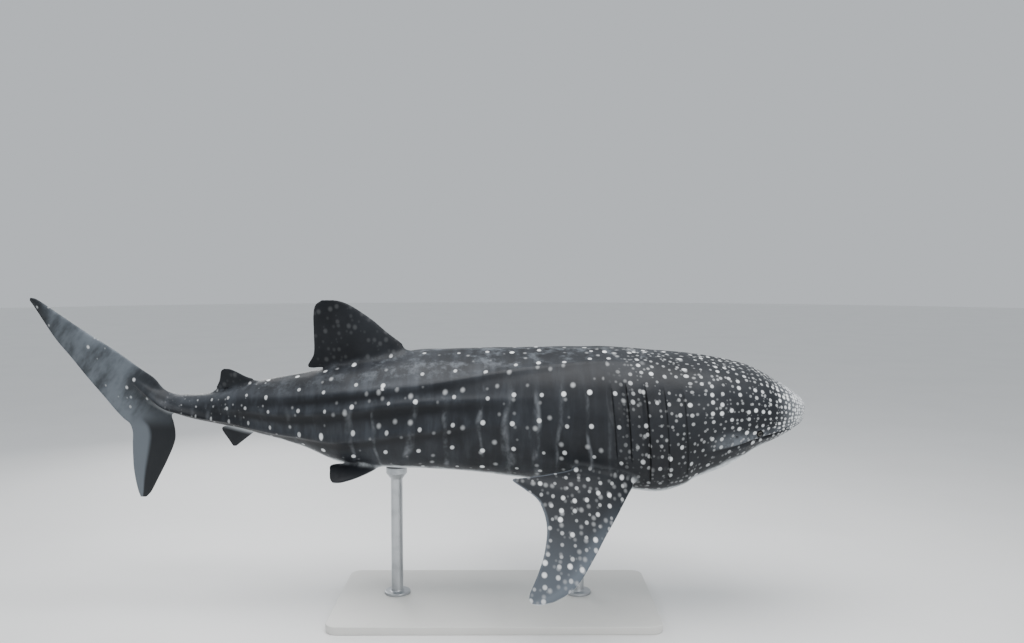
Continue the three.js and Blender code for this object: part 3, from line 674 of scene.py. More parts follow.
def body_shell():
    """The whole body: rings of skin points over distance behind the snout and angle."""
    rings = ring_places()
    right = ring_angles(rings)
    left = right[:, 1:-1][:, ::-1]
    degrees = np.concatenate([right, left], axis=1)
    side = np.concatenate([np.ones_like(right), -np.ones_like(left)], axis=1)
    at = np.broadcast_to(rings[:, None], degrees.shape)
    relief, _ = full_relief(at, degrees, side)
    points = skin_point(at, degrees, side, relief)
    profile = np.concatenate([[0.0], np.cumsum(np.hypot(np.diff(rings), np.diff(half_width(rings))))])
    mean = np.concatenate([right.mean(axis=0), 360.0 - left.mean(axis=0), [360.0]]) / 360.0
    tip = skin_point(np.array(0.0), np.array(0.0), 1, np.array(0.0))
    tail = points[-1].mean(axis=0)
    return Shell(points, profile / profile[-1], mean, BODY_CHART, first_tip=tip, last_tip=tail)


def passing_curve(pairs, share):
    """Points of a smooth curve through control points, each stretch a cubic whose slopes are half
    of the chord between its neighbours."""
    points = np.array(pairs, dtype=float) / 1000.0
    before = 2 * points[0] - points[1]
    after = 2 * points[-1] - points[-2]
    padded = np.concatenate([[before], points, [after]])
    place = share * (len(points) - 1)
    i = np.clip(np.floor(place).astype(int), 0, len(points) - 2)
    t = (place - i)[:, None]
    p0, p1, p2, p3 = padded[i], padded[i + 1], padded[i + 2], padded[i + 3]
    start = (p2 - p0) / 2.0
    end = (p3 - p1) / 2.0
    return ((2 * t**3 - 3 * t**2 + 1) * p1 + (t**3 - 2 * t**2 + t) * start
            + (-2 * t**3 + 3 * t**2) * p2 + (t**3 - t**2) * end)


def chord_thickness(back):
    """Thickness across a fin from its front, 1 at the greatest, rounded in front and thin behind."""
    return 10.0 * (0.2969 * np.sqrt(back) - 0.126 * back - 0.3516 * back**2
                   + 0.2843 * back**3 - 0.1036 * back**4)


def thin_out(root, tip):
    """Thickness of a fin as a share of its chord that goes from the root's to the tip's."""
    return lambda level: blend(root, tip, level**0.8)


def tail_thickness(level):
    """The tail fin is thickest half way between the tips of its two lobes."""
    return blend(0.010, 0.056, np.sin(np.pi * (level * 0.96 + 0.02)) ** 0.7)


# Outlines in millimetres as (back along the chord, out along the span)
FINS = {
    "dorsal_first": {
        "leading": ((2900, 380), (2990, 492), (3130, 605), (3222, 686), (3314, 753), (3400, 806),
                    (3471, 834), (3520, 842)),
        "trailing": ((3546, 250), (3600, 318), (3735, 326), (3688, 430), (3681, 588), (3678, 720),
                     (3660, 800), (3610, 840)),
        "thickness": thin_out(0.092, 0.012), "edge": 0.005, "rows": 52, "columns": 24,
    },
    "dorsal_second": {
        "leading": ((4090, 150), (4153, 206), (4232, 230), (4300, 262), (4345, 280), (4366, 285)),
        "trailing": ((4385, 80), (4400, 128), (4490, 92), (4447, 190), (4430, 262), (4405, 284)),
        "thickness": thin_out(0.044, 0.008), "edge": 0.004, "rows": 24, "columns": 14,
    },
    "anal": {
        "leading": ((4130, -150), (4185, -205), (4255, -262), (4315, -310), (4345, -335)),
        "trailing": ((4370, -110), (4400, -165), (4455, -200), (4402, -290), (4372, -338)),
        "thickness": thin_out(0.040, 0.008), "edge": 0.004, "rows": 22, "columns": 14,
    },
    "caudal": {
        "leading": ((6035, 764), (5960, 745), (5751, 627), (5556, 515), (5312, 382), (5112, 254),
                    (4960, 160), (4900, 60), (4880, -50), (4860, -160), (4850, -262), (4868, -350),
                    (4944, -503), (5039, -667), (5104, -777), (5150, -826)),
        "trailing": ((6046, 742), (5995, 672), (5847, 450), (5719, 306), (5596, 160), (5437, -17),
                     (5355, -112), (5290, -176), (5240, -215), (5222, -285), (5232, -380),
                     (5240, -490), (5243, -590), (5236, -690), (5222, -780), (5205, -834)),
        "thickness": tail_thickness, "edge": 0.005, "rows": 108, "columns": 28,
    },
    "pectoral": {
        "leading": ((-35, -85), (5, 25), (44, 110), (75, 180), (100, 240), (125, 300), (160, 378),
                    (215, 500), (286, 667), (372, 845), (444, 937), (533, 1008), (600, 1040), (645, 1052)),
        "trailing": ((440, -90), (470, 15), (640, 100), (792, 160), (898, 202), (800, 258), (696, 326),
                     (628, 490), (627, 680), (652, 815), (682, 921), (702, 985), (702, 1028), (680, 1050)),
        "thickness": thin_out(0.082, 0.014), "edge": 0.005, "rows": 64, "columns": 24,
    },
    "pelvic": {
        "leading": ((-30, -60), (10, 10), (85, 85), (170, 150), (250, 195), (295, 208)),
        "trailing": ((215, -70), (250, 5), (370, 52), (368, 112), (348, 178), (322, 208)),
        "thickness": thin_out(0.042, 0.009), "edge": 0.004, "rows": 24, "columns": 14,
    },
}


class FinPlane:
    """The plane of a fin: an origin with directions back, out and through, and a side."""

    def __init__(self, origin, back, out, through, side=1.0):
        self.origin = np.array(origin, dtype=float)
        self.axes = np.array([back, out, through], dtype=float)
        self.side = side

    def place(self, back, out, half):
        """Origin + back, out and half of the thickness along the axes, mirrored for the left side,
        then moved with the bend of the body."""
        flat = np.stack([back, out, half], axis=-1) @ self.axes + self.origin
        flat[..., 1] *= self.side
        flat[..., 1] += bend(SNOUT_X - flat[..., 0])
        return flat

    def find(self, points):
        """Back, out and through distances of points, the inverse of place."""
        flat = points.copy()
        flat[:, 1] -= bend(SNOUT_X - flat[:, 0])
        flat[:, 1] *= self.side
        return (flat - self.origin) @ self.axes.T


def upright_plane():
    """The animal's middle plane, measured back from the snout and up from the axis."""
    return FinPlane((SNOUT_X, 0.0, 0.0), (-1, 0, 0), (0, 0, 1), (0, -1, 0))


def paired_plane(root, pitch, toe, droop, side):
    """The chord rises backwards by the pitch and swings by the toe, the span falls by the droop."""
    rise, swing, fall = np.radians([pitch, toe, droop])
    back = np.array([
        -math.cos(rise) * math.cos(swing), -math.cos(rise) * math.sin(swing), math.sin(rise),
    ])
    down = np.array([0.0, -math.cos(fall), -math.sin(fall)])
    through = np.cross(back, down)
    through /= np.linalg.norm(through)
    out = np.cross(through, back)
    return FinPlane(root, back, out, through, side)


def fin_planes():
    """Each fin of the shark with its outline, its plane, its part of the chart and its fillet."""
    at, degrees = (np.array(value) for value in PELVIC_ROOT)
    root = skin_point(at, degrees, 1, ridge_height(at, degrees))
    root[1] -= bend(at)
    upright = upright_plane()
    wings = []
    for droop, side in ((PECTORAL_DROOP_RIGHT, 1.0), (PECTORAL_DROOP_LEFT, -1.0)):
        wings.append(paired_plane(PECTORAL_ROOT, PECTORAL_PITCH, PECTORAL_TOE, droop, side))
    small = [paired_plane(root, PELVIC_PITCH, PELVIC_TOE, PELVIC_DROOP, side) for side in (1.0, -1.0)]
    return (
        ("pectoral", wings[0], (0.01, 0.62, 0.22, 0.96), 0.075),
        ("pectoral", wings[1], (0.23, 0.62, 0.44, 0.96), 0.075),
        ("caudal", upright, (0.45, 0.62, 0.82, 0.80), 0.100),
        ("dorsal_first", upright, (0.45, 0.82, 0.60, 0.98), 0.085),
        ("dorsal_second", upright, (0.61, 0.82, 0.68, 0.90), 0.030),
        ("anal", upright, (0.61, 0.91, 0.68, 0.98), 0.026),
        ("pelvic", small[0], (0.69, 0.82, 0.76, 0.90), 0.030),
        ("pelvic", small[1], (0.69, 0.91, 0.76, 0.98), 0.030),
    )


def fin_shell(shape, plane, chart):
    """Rows from root to tip, each a chord between the front and the rear outline with its two
    faces a wing section apart; the second face runs back to the front."""
    rows, columns = shape["rows"], shape["columns"]
    level = np.linspace(0.0, 1.0, rows + 1)
    front = passing_curve(shape["leading"], level)
    rear = passing_curve(shape["trailing"], level)
    back = (1.0 - np.cos(np.pi * np.linspace(0.0, 1.0, columns + 1))) / 2.0
    chord = front[:, None, :] + (rear - front)[:, None, :] * back[None, :, None]
    thick = shape["thickness"](level)[:, None] * chord_thickness(back)[None, :]
    half = np.maximum(thick / 2.0, shape["edge"] / 2.0)
    near = plane.place(chord[..., 0], chord[..., 1], half)
    far = plane.place(chord[..., 0], chord[..., 1], -half)
    points = np.concatenate([near, far[:, ::-1]], axis=1)
    columns_chart = np.concatenate([back * 0.49, 1.0 - back[::-1] * 0.49, [1.0]])
    return Shell(points, level, columns_chart, chart)


def barbel_shell(side, chart):
    """A short soft lobe beside the nostril: circles that shrink along a path that leaves the skin
    and droops over the lip."""
    centre, along, round_it, out = local_frame(*BARBEL_PLACE, side)
    level = np.linspace(0.0, 1.0, 12)
    down = np.array([0.0, 0.0, -1.0])
    path = (centre[None, :] + out[None, :] * (-BARBEL_SUNK + BARBEL_REACH * level[:, None])
            + down[None, :] * (BARBEL_DROOP * level[:, None] ** 2))
    size = BARBEL_RADIUS * np.sqrt(np.maximum(1.0 - level**3, 0.02))
    turn = np.linspace(0.0, 2.0 * np.pi, 16, endpoint=False)
    flat_sine = BARBEL_FLATNESS * np.sin(turn)
    ring = np.cos(turn)[:, None] * along[None, :] + flat_sine[:, None] * round_it[None, :]
    points = path[:, None, :] + ring[None, :, :] * size[:, None, None]
    tip = path[-1] + (path[-1] - path[-2]) * 0.4
    return Shell(points, level, np.linspace(0.0, 1.0, 17), chart, last_tip=tip)


def apply_boolean(target, other, operation):
    """The mesh of one closed object joined with or cut by another, as a new mesh."""
    for solver in ("MANIFOLD", "EXACT"):
        step = target.modifiers.new("join", "BOOLEAN")
        step.operation = operation
        step.solver = solver
        step.object = other
        step.material_mode = "INDEX"
        graph = bpy.context.evaluated_depsgraph_get()
        result = bpy.data.meshes.new_from_object(target.evaluated_get(graph))
        target.modifiers.clear()
        slots = np.zeros(len(result.polygons), dtype=np.int32)
        result.polygons.foreach_get("material_index", slots)
        if operation == "DIFFERENCE" or len(np.unique(slots)) > 1:
            return result
        bpy.data.meshes.remove(result)
    raise RuntimeError("the pieces could not be joined")


def link_object(name, mesh):
    """A new object of the scene with that mesh."""
    made = bpy.data.objects.new(name, mesh)
    bpy.context.scene.collection.objects.link(made)
    return made


def set_points(mesh, points):
    """Moves the vertices of a mesh to the points."""
    mesh.vertices.foreach_set("co", points.astype(np.float32).ravel())


def dress(mesh, *materials):
    """Puts materials in place of the tags of the pieces, every face with the first of them."""
    mesh.materials.clear()
    for material in materials:
        mesh.materials.append(material)
    mesh.polygons.foreach_set("material_index", np.zeros(len(mesh.polygons), dtype=np.int32))
    mesh.shade_smooth()
    mesh.update()


def mesh_arrays(mesh):
    """Points, corner vertex numbers, corner count of each face and edges of a mesh as arrays."""
    flat = np.zeros(len(mesh.vertices) * 3, dtype=np.float32)
    mesh.vertices.foreach_get("co", flat)
    corners = np.zeros(len(mesh.loops), dtype=np.int32)
    mesh.loops.foreach_get("vertex_index", corners)
    totals = np.zeros(len(mesh.polygons), dtype=np.int32)
    mesh.polygons.foreach_get("loop_total", totals)
    edges = np.zeros(len(mesh.edges) * 2, dtype=np.int32)
    mesh.edges.foreach_get("vertices", edges)
    return flat.reshape(-1, 3).astype(np.float64), corners, totals, edges.reshape(-1, 2)


def neighbour_mean(values, edges, count):
    """Mean of the values at the far ends of each vertex's edges."""
    total = np.zeros_like(values)
    for a, b in ((0, 1), (1, 0)):
        for axis in range(values.shape[1]):
            weights = values[edges[:, b], axis]
            total[:, axis] += np.bincount(edges[:, a], weights=weights, minlength=len(values))
    return total / count[:, None]


def soften_roots(points, edges, joint, fin_number, reaches):
    """Fillets where the fins grow from the body.

    Joint marks the vertices that faces of the body and of a fin share. Near a joint each vertex
    moves half way to the mean of its neighbours, again and again, less and less with the distance
    from the joint. Returns the points and the fin that each vertex is nearest to.
    """
    near_fin = np.zeros(len(points), dtype=int)
    weight = np.zeros(len(points))
    for fin, reach in reaches.items():
        ring = points[joint & (fin_number == fin)]
        if len(ring) == 0:
            continue
        low = ring.min(axis=0) - reach
        high = ring.max(axis=0) + reach
        inside = np.flatnonzero(np.all((points > low) & (points < high), axis=1))
        gap = np.full(len(inside), np.inf)
        for start in range(0, len(ring), JOINT_BATCH):
            offset = points[inside][:, None, :] - ring[None, start:start + JOINT_BATCH, :]
            gap = np.minimum(gap, np.sqrt((offset**2).sum(axis=2)).min(axis=1))
        closer = 1.0 - smoothstep(gap, FILLET_CORE * reach, reach)
        better = closer > weight[inside]
        weight[inside[better]] = closer[better]
        near_fin[inside[better]] = fin
    count = np.maximum(np.bincount(edges.ravel(), minlength=len(points)).astype(float), 1.0)
    settled = points.copy()
    active = weight > 0
    used = edges[active[edges[:, 0]] | active[edges[:, 1]]]
    for _ in range(SOFTENING_ROUNDS):
        mean = neighbour_mean(settled, used, count)
        settled[active] += 0.5 * weight[active, None] * (mean[active] - settled[active])
    return settled, near_fin


def lattice_attributes(at, degrees, side):
    """Pattern coordinates of the skin.

    The trunk's lattice counts upright rows of spots along the body and, across it, 1 a little above
    the upper ridge, 2 between it and the middle one, 3 between that and the lower one and so on.
    The head's lattice has cells that shrink with the girth towards the snout.
    """
    rows = np.array(SPOT_ROWS)
    along = np.interp(at, rows, np.arange(len(rows), dtype=float))
    along = np.where(at < rows[0], (at - rows[0]) / FRONT_ROW_LENGTH, along)
    row_length = np.interp(at, (rows[:-1] + rows[1:]) / 2.0, np.diff(rows))
    upper, middle, lower = upper_line(at), middle_line(at), lower_line(at)
    across = np.select(
        [degrees < upper, degrees < middle, degrees < lower],
        [degrees / upper, 1.0 + (degrees - upper) / (middle - upper),
         2.0 + (degrees - middle) / (lower - middle)],
        3.0 + (degrees - lower) / BELLY_ROW_DEGREES)
    # the first 0.6 of the back's row is stretched to a whole one
    lattice = across + 0.4 * np.minimum(across / 0.6, 1.0)
    degrees_per_row = np.select(
        [across < 0.6, across < 1.0, across < 2.0, across < 3.0],
        [upper * 0.6, upper, middle - upper, lower - middle], BELLY_ROW_DEGREES)
    row_height = np.radians(degrees_per_row) * np.hypot(*section(at, degrees))

    steps = np.linspace(0.0, CORE_END, 1200)
    middle_step = (steps[1:] + steps[:-1]) / 2.0
    cells = np.diff(steps) * HEAD_SPOT_COUNT / np.maximum(girth_radius(middle_step), 0.03)
    # near the tip the skin turns across the body, so its own length counts and not the distance back
    slope = np.hypot(np.diff(steps), np.diff(half_width(steps))) / np.diff(steps)
    travelled = np.concatenate([[0.0], np.cumsum(cells * slope)])
    head_along = np.interp(at, steps, travelled)
    head_across = HEAD_SPOT_COUNT * np.radians(degrees) * side
    return {
        "along": along, "across": across, "lattice": lattice * side, "row_length": row_length,
        "row_height": row_height, "head_along": head_along, "head_across": head_across,
        "upper": upper, "middle": middle, "lower": lower,
    }


def ridge_painted_light_and_shade(lines, at, degrees):
    """Painted light and shade beside the ridges: a painted highlight on each crest and above it, painted
    shade below it.
    """
    shade = np.zeros_like(at)
    strength = smoothstep(at, 2.0, 3.2) * (1.0 - smoothstep(at, 4.6, 5.0))
    for name, share in RIDGE_SHARES:
        away = np.radians(degrees - lines[name]) * girth_radius(at)
        shade += share * strength * (bell(away, *RIDGE_PAINTED_HIGHLIGHT) - bell(away, *RIDGE_PAINTED_SHADE))
    return shade


def write_attribute(mesh, name, *values):
    """Writes one number or three numbers for each vertex, for the materials to read."""
    kind, field = ("FLOAT", "value") if len(values) == 1 else ("FLOAT_VECTOR", "vector")
    made = mesh.attributes.new(name, kind, "POINT")
    made.data.foreach_set(field, np.stack(values, axis=1).astype(np.float32).ravel())


def lay_on_stand(points):
    """Turns points of the level body by its roll and lifts them to the axis height."""
    cosine, sine = math.cos(BODY_ROLL), math.sin(BODY_ROLL)
    y = points[:, 1] * cosine - points[:, 2] * sine
    z = points[:, 1] * sine + points[:, 2] * cosine + AXIS_HEIGHT
    return np.stack([points[:, 0], y, z], axis=1)


def join_pieces(planes):
    """Body, fins and barbels as one closed mesh, with the reach of the fillet of each piece."""
    body = body_shell()
    shells = []
    reaches = {}
    for number, (name, plane, chart, reach) in enumerate(planes, start=1):
        shell = fin_shell(FINS[name], plane, chart)
        shell.tag = number
        shells.append(shell)
        reaches[number] = reach
    for number, (side, chart) in enumerate(BARBEL_CHARTS, start=len(planes) + 1):
        shell = barbel_shell(side, chart)
        shell.tag = number
        shells.append(shell)
        reaches[number] = BARBEL_FILLET
    body_object = link_object("body_part", shells_to_mesh("body_part", [body]))
    fin_object = link_object("fin_part", shells_to_mesh("fin_part", shells))
    mesh = apply_boolean(body_object, fin_object, "UNION")
    for used in (body_object, fin_object):
        old = used.data
        bpy.data.objects.remove(used)
        bpy.data.meshes.remove(old)
    mesh.name = "shark_skin"
    return mesh, reaches


def tags_of_vertices(mesh, corners, totals):
    """The highest and the lowest piece number of the faces round each vertex."""
    tags = np.zeros(len(mesh.polygons), dtype=np.int32)
    mesh.polygons.foreach_get("material_index", tags)
    corner_tags = np.repeat(tags, totals)
    highest = np.zeros(len(mesh.vertices), dtype=int)
    lowest = np.full(len(mesh.vertices), PIECE_TAGS, dtype=int)
    np.maximum.at(highest, corners, corner_tags)
    np.minimum.at(lowest, corners, corner_tags)
    return highest, lowest


def crease_shade(at, degrees, hollows):
    """How dark the painted shade is in the gill slits, the mouth and the hollows of the head."""
    slit = np.zeros_like(at)
    for place, top, bottom, opening in GILL_SLITS:
        past = at - place
        inside = smoothstep(past, *SLIT_SHADE_START) * (1.0 - smoothstep(past, *SLIT_SHADE_END))
        slit = np.maximum(slit, opening * inside * slit_window(degrees, top, bottom))
    mouth = np.exp(-(mouth_distance(at, degrees) / MOUTH_CREASE) ** 2)
    mouth *= mouth_strength(at)
    return np.clip(np.maximum(np.maximum(slit, 0.9 * mouth), hollows), 0.0, 1.0)


def write_fin_attributes(mesh, points, planes, fin_of, fin_weight):
    """Writes each fin's kind, its share against the body, and the places of its points."""
    fin_place = np.zeros((len(points), 3))
    from_front = np.zeros(len(points))
    kinds = np.zeros((len(points), 3))
    under = np.zeros(len(points))
    normals = np.zeros(len(mesh.vertices) * 3, dtype=np.float32)
    mesh.vertices.foreach_get("normal", normals)
    upward = normals.reshape(-1, 3)[:, 2]
    level = np.linspace(0.0, 1.0, 200)
    for number, (name, plane, _, _) in enumerate(planes, start=1):
        chosen = fin_of == number
        found = plane.find(points[chosen])
        edges = []
        for side in ("leading", "trailing"):
            outline = passing_curve(FINS[name][side], level)
            order = np.argsort(outline[:, 1])
            edges.append(np.interp(found[:, 1], outline[order, 1], outline[order, 0]))
        from_front[chosen] = np.maximum(found[:, 0] - edges[0], 0.0)
        found[:, 2] = np.maximum(edges[1] - found[:, 0], 0.0)
        fin_place[chosen] = found
        if name in FIN_KINDS:
            kinds[chosen, FIN_KINDS[name]] = 1.0
        if name in ("pectoral", "pelvic"):
            under[chosen] = smoothstep(-upward[chosen], *FACING_DOWN)
    write_attribute(mesh, "fin_place", *fin_place.T)
    write_attribute(mesh, "fin_kind", *kinds.T)
    write_attribute(mesh, "fin_share", fin_weight, under, from_front)


def build_skin(settings):
    """One closed skin over the body and all fins, with the coordinates of its markings."""
    planes = fin_planes()
    mesh, reaches = join_pieces(planes)
    points, corners, totals, edges = mesh_arrays(mesh)
    highest, lowest = tags_of_vertices(mesh, corners, totals)
    points, near_fin = soften_roots(points, edges, highest != lowest, highest, reaches)
    fin_of = np.where(highest > 0, highest, near_fin)

    at, degrees, side, excess = unwrap(points)
    relief, hollows = full_relief(at, degrees, side)
    fin_of = np.where((at > TAIL_FADE[0]) & (fin_of == 0), CAUDAL_NUMBER, fin_of)
    proud = np.maximum(excess - relief, 0.0)
    fin_weight = np.where(fin_of > 0, smoothstep(proud, 0.0, FIN_FADE), 0.0)
    on_tail = fin_of == CAUDAL_NUMBER
    fin_weight = np.where(on_tail, np.maximum(fin_weight, smoothstep(at, *TAIL_FADE)), fin_weight)
    fin_weight = np.where(fin_of > len(planes), 0.0, fin_weight)

    lines = lattice_attributes(at, degrees, side)
    nothing = np.zeros_like(at)
    below_mouth = degrees - mouth_line(at)
    write_attribute(mesh, "skin_place", at, degrees, lines["across"])
    write_attribute(mesh, "trunk_lattice", lines["along"], lines["lattice"], nothing)
    write_attribute(mesh, "trunk_cell", lines["row_length"], lines["row_height"], nothing)
    write_attribute(mesh, "head_lattice", lines["head_along"], lines["head_across"], below_mouth)
    # painted highlight on and above each ridge and painted shade below it
    write_attribute(mesh, "ridge_painted_light_and_shade", ridge_painted_light_and_shade(lines, at, degrees))
    # painted shade in the gill slits, the mouth and the hollows of the head, none on the fins
    write_attribute(mesh, "crease", crease_shade(at, degrees, hollows) * (1.0 - fin_weight))
    set_points(mesh, points)
    mesh.update()
    write_fin_attributes(mesh, points, planes, fin_of, fin_weight)
    set_points(mesh, lay_on_stand(points))
    dress(mesh, skin_material(settings))
    return link_object("shark_skin", mesh)


# Materials

MID_TONE = linear(60, 64, 70)
# painted caustic light on the back
BACK_CAUSTIC_LIGHT_TONE = linear(112, 118, 125)
BAR_TONE = linear(142, 146, 151)
SNOUT_TONE = linear(176, 181, 186)
# pale upper lip, partly the skin's own and partly painted light from above
LIP_TONE = linear(128, 134, 141)
BELLY_CLOUD_TONE = linear(172, 178, 183)
WING_TONE = linear(88, 95, 103)
# painted light on the tail fin
TAIL_PAINTED_LIGHT_TONE = linear(108, 115, 122)
# painted shade in the creases
CREASE_SHADE_TONE = linear(9, 10, 12)
IRIS_TONES = (linear(26, 27, 28), linear(92, 92, 85))
PUPIL_TONE = linear(2, 2, 3)
EYE_RING_TONE = linear(18, 20, 24)
STEEL_TONES = (linear(182, 185, 188), linear(160, 163, 167))
RUBBER_TONES = (linear(20, 21, 22), linear(42, 43, 45))
SKY_TONE = linear(214, 219, 224)

# Spots are a little taller than long; few of them are as bright as the brightest
SPOT_SHAPE = (1.0, 0.88, 0.0)
SPOT_BRIGHTEST = 1.02
SPOT_BRIGHT_POWER = 2.4
SMALL_ON_TRUNK = 0.40
SMALL_ON_HEAD = 0.38
SMALL_ON_WING = 0.28
SAIL_SPOTS_PER_METRE = 22.0
TAIL_SPOTS_PER_METRE = 13.0
TAIL_START = 4.95
STREAKS_PER_METRE = 11.0
BLOTCH_SCALE = 2.2
# painted caustic light on the back
BACK_CAUSTIC_LIGHT_SCALE = 8.0
TAIL_LIGHT_PATCH_SCALE = 4.2
LIP_CLOUD_SCALE = 9.0
BORDER_SCALE = 7.0
BORDER_DEGREES = 24.0
BELLY_CLOUD_SCALE = 12.0
WRINKLE_SCALE = 46.0
BAR_WANDER = 1.3
BAR_HALF_WIDTH = 0.030


class Shader:
    """A node tree with short calls that add nodes and link them."""

    def __init__(self, tree):
        self.tree = tree

    def feed(self, made, inputs):
        """Links or sets each named input of a node."""
        for name, value in inputs.items():
            socket = made.inputs[name]
            if isinstance(value, bpy.types.NodeSocket):
                self.tree.links.new(value, socket)
            else:
                socket.default_value = value
        return made

    def node(self, kind, inputs=None, **settings):
        """A new node with its settings and inputs."""
        made = self.tree.nodes.new(kind)
        for name, value in settings.items():
            setattr(made, name, value)
        return self.feed(made, inputs or {})

    def math(self, operation, first, second=0.0, third=None, clamp=False):
        """Result of a sum on numbers."""
        inputs = {0: first, 1: second}
        if third is not None:
            inputs[2] = third
        return self.node("ShaderNodeMath", inputs, operation=operation, use_clamp=clamp).outputs[0]

    def product(self, first, *others):
        """Product of several numbers."""
        for other in others:
            first = self.math("MULTIPLY", first, other)
        return first

    def vector(self, operation, first, second=(0.0, 0.0, 0.0)):
        """Result of a sum on vectors."""
        made = self.node("ShaderNodeVectorMath", {0: first, 1: second}, operation=operation)
        return made.outputs["Value" if operation == "LENGTH" else "Vector"]

    def step(self, value, low, high, bottom=0.0, top=1.0):
        """Smooth change from bottom to top while the value goes from low to high."""
        inputs = {"Value": value, "From Min": low, "From Max": high, "To Min": bottom, "To Max": top}
        return self.node("ShaderNodeMapRange", inputs, interpolation_type="SMOOTHSTEP").outputs[0]

    def mix(self, share, first, second):
        """Colour between first and second."""
        made = self.node("ShaderNodeMix", {0: share, 6: first, 7: second}, data_type="RGBA")
        return made.outputs[2]

    def attribute(self, name):
        """The node that reads an attribute of the mesh."""
        return self.node("ShaderNodeAttribute", attribute_name=name)

    def object_place(self):
        """Place on the piece in metres."""
        return self.node("ShaderNodeTexCoord").outputs["Object"]

    def parts(self, vector):
        """The three parts of a vector."""
        made = self.node("ShaderNodeSeparateXYZ", {0: vector})
        return made.outputs[0], made.outputs[1], made.outputs[2]

    def combine(self, x, y, z=0.0):
        """A vector of its three parts."""
        return self.node("ShaderNodeCombineXYZ", {0: x, 1: y, 2: z}).outputs[0]

    def noise(self, vector, scale, detail=3.0, roughness=0.55):
        """Uneven values from 0 to 1."""
        inputs = {"Vector": vector, "Scale": scale, "Detail": detail, "Roughness": roughness}
        return self.node("ShaderNodeTexNoise", inputs).outputs["Fac"]

    def group_node(self, name, inputs):
        """A node group with its inputs."""
        return self.node("ShaderNodeGroup", inputs, node_tree=bpy.data.node_groups[name])

    def bump(self, height, strength, distance):
        """Normal of a surface with that height."""
        inputs = {"Strength": strength, "Distance": distance, "Height": height}
        return self.node("ShaderNodeBump", inputs).outputs["Normal"]


def new_material(name):
    """A material with its short calls and its surface node."""
    material = bpy.data.materials.new(name)
    material.use_nodes = True
    shader = Shader(material.node_tree)
    surface = material.node_tree.nodes["Principled BSDF"]
    return material, shader, surface


def new_group(name, inputs, outputs):
    """A shader node group with named sockets, empty but for its two ends."""
    tree = bpy.data.node_groups.new(name, "ShaderNodeTree")
    for socket, kind, value in inputs:
        made = tree.interface.new_socket(name=socket, in_out="INPUT", socket_type=kind)
        if value is not None:
            made.default_value = value
    for socket, kind in outputs:
        tree.interface.new_socket(name=socket, in_out="OUTPUT", socket_type=kind)
    return Shader(tree), tree.nodes.new("NodeGroupInput"), tree.nodes.new("NodeGroupOutput")


def spots_group():
    """Pale round spots, one in each cell of a lattice, of varied place and size, the larger the brighter."""
    name = "pale_spots"
    if name in bpy.data.node_groups:
        return
    inputs = (
        ("Lattice", "NodeSocketVector", None),
        ("Cell", "NodeSocketVector", (1.0, 1.0, 0.0)),
        ("Radius", "NodeSocketFloat", 0.02),
        ("Softness", "NodeSocketFloat", 0.3),
        ("Scatter", "NodeSocketFloat", 0.4),
        ("Presence", "NodeSocketFloat", 1.0),
        ("Variety", "NodeSocketFloat", 0.35),
        ("Least", "NodeSocketFloat", 0.28),
    )
    shader, start, end = new_group(name, inputs, (("Mask", "NodeSocketFloat"),))
    nearest, second = (spot_mask(shader, start.outputs, feature) for feature in ("F1", "F2"))
    shader.feed(end, {"Mask": shader.math("MAXIMUM", nearest, second)})


def spot_mask(shader, put, feature):
    """The spot of the nearest cell (F1) or the next one (F2), so that a spot may pass its cell's edge."""
    inputs = {"Vector": put["Lattice"], "Scale": 1.0, "Randomness": put["Scatter"]}
    cells = shader.node("ShaderNodeTexVoronoi", inputs, voronoi_dimensions="2D", feature=feature)
    offset = shader.vector("SUBTRACT", put["Lattice"], cells.outputs["Position"])
    metres = shader.vector("MULTIPLY", offset, put["Cell"])
    distance = shader.vector("LENGTH", shader.vector("MULTIPLY", metres, SPOT_SHAPE))
    chance = shader.node("ShaderNodeSeparateColor", {0: cells.outputs["Color"]})
    size = shader.math("MULTIPLY_ADD", chance.outputs[0], 2.0, -1.0)
    size = shader.math("MULTIPLY_ADD", size, put["Variety"], 1.0)
    radius = shader.math("MULTIPLY", put["Radius"], size)
    edge = shader.math("MULTIPLY", radius, put["Softness"])
    inner = shader.math("SUBTRACT", radius, edge)
    outer = shader.math("ADD", radius, edge)
    mask = shader.step(distance, inner, outer, 1.0, 0.0)
    there = shader.math("LESS_THAN", chance.outputs[1], put["Presence"])
    more = shader.math("SUBTRACT", SPOT_BRIGHTEST, put["Least"])
    rarely = shader.math("POWER", chance.outputs[0], SPOT_BRIGHT_POWER)
    strength = shader.math("MULTIPLY_ADD", rarely, more, put["Least"])
    return shader.math("MULTIPLY", shader.math("MULTIPLY", mask, there), strength, clamp=True)


def grain_group():
    """Fine uneven surface: a height for bump and a small change of roughness."""
    name = "fine_grain"
    if name in bpy.data.node_groups:
        return
    inputs = (
        ("Vector", "NodeSocketVector", None),
        ("Scale", "NodeSocketFloat", 300.0),
        ("Roughness", "NodeSocketFloat", 0.45),
        ("Spread", "NodeSocketFloat", 0.1),
    )
    outputs = (("Height", "NodeSocketFloat"), ("Roughness", "NodeSocketFloat"))
    shader, start, end = new_group(name, inputs, outputs)
    put = start.outputs
    fine = shader.noise(put["Vector"], put["Scale"], 4.0, 0.6)
    coarse = shader.noise(put["Vector"], shader.math("MULTIPLY", put["Scale"], 0.03), 3.0, 0.5)
    height = shader.math("MULTIPLY_ADD", coarse, 1.5, fine)
    change = shader.math("MULTIPLY", shader.math("SUBTRACT", coarse, 0.5), put["Spread"])
    shader.feed(end, {"Height": height, "Roughness": shader.math("ADD", put["Roughness"], change)})


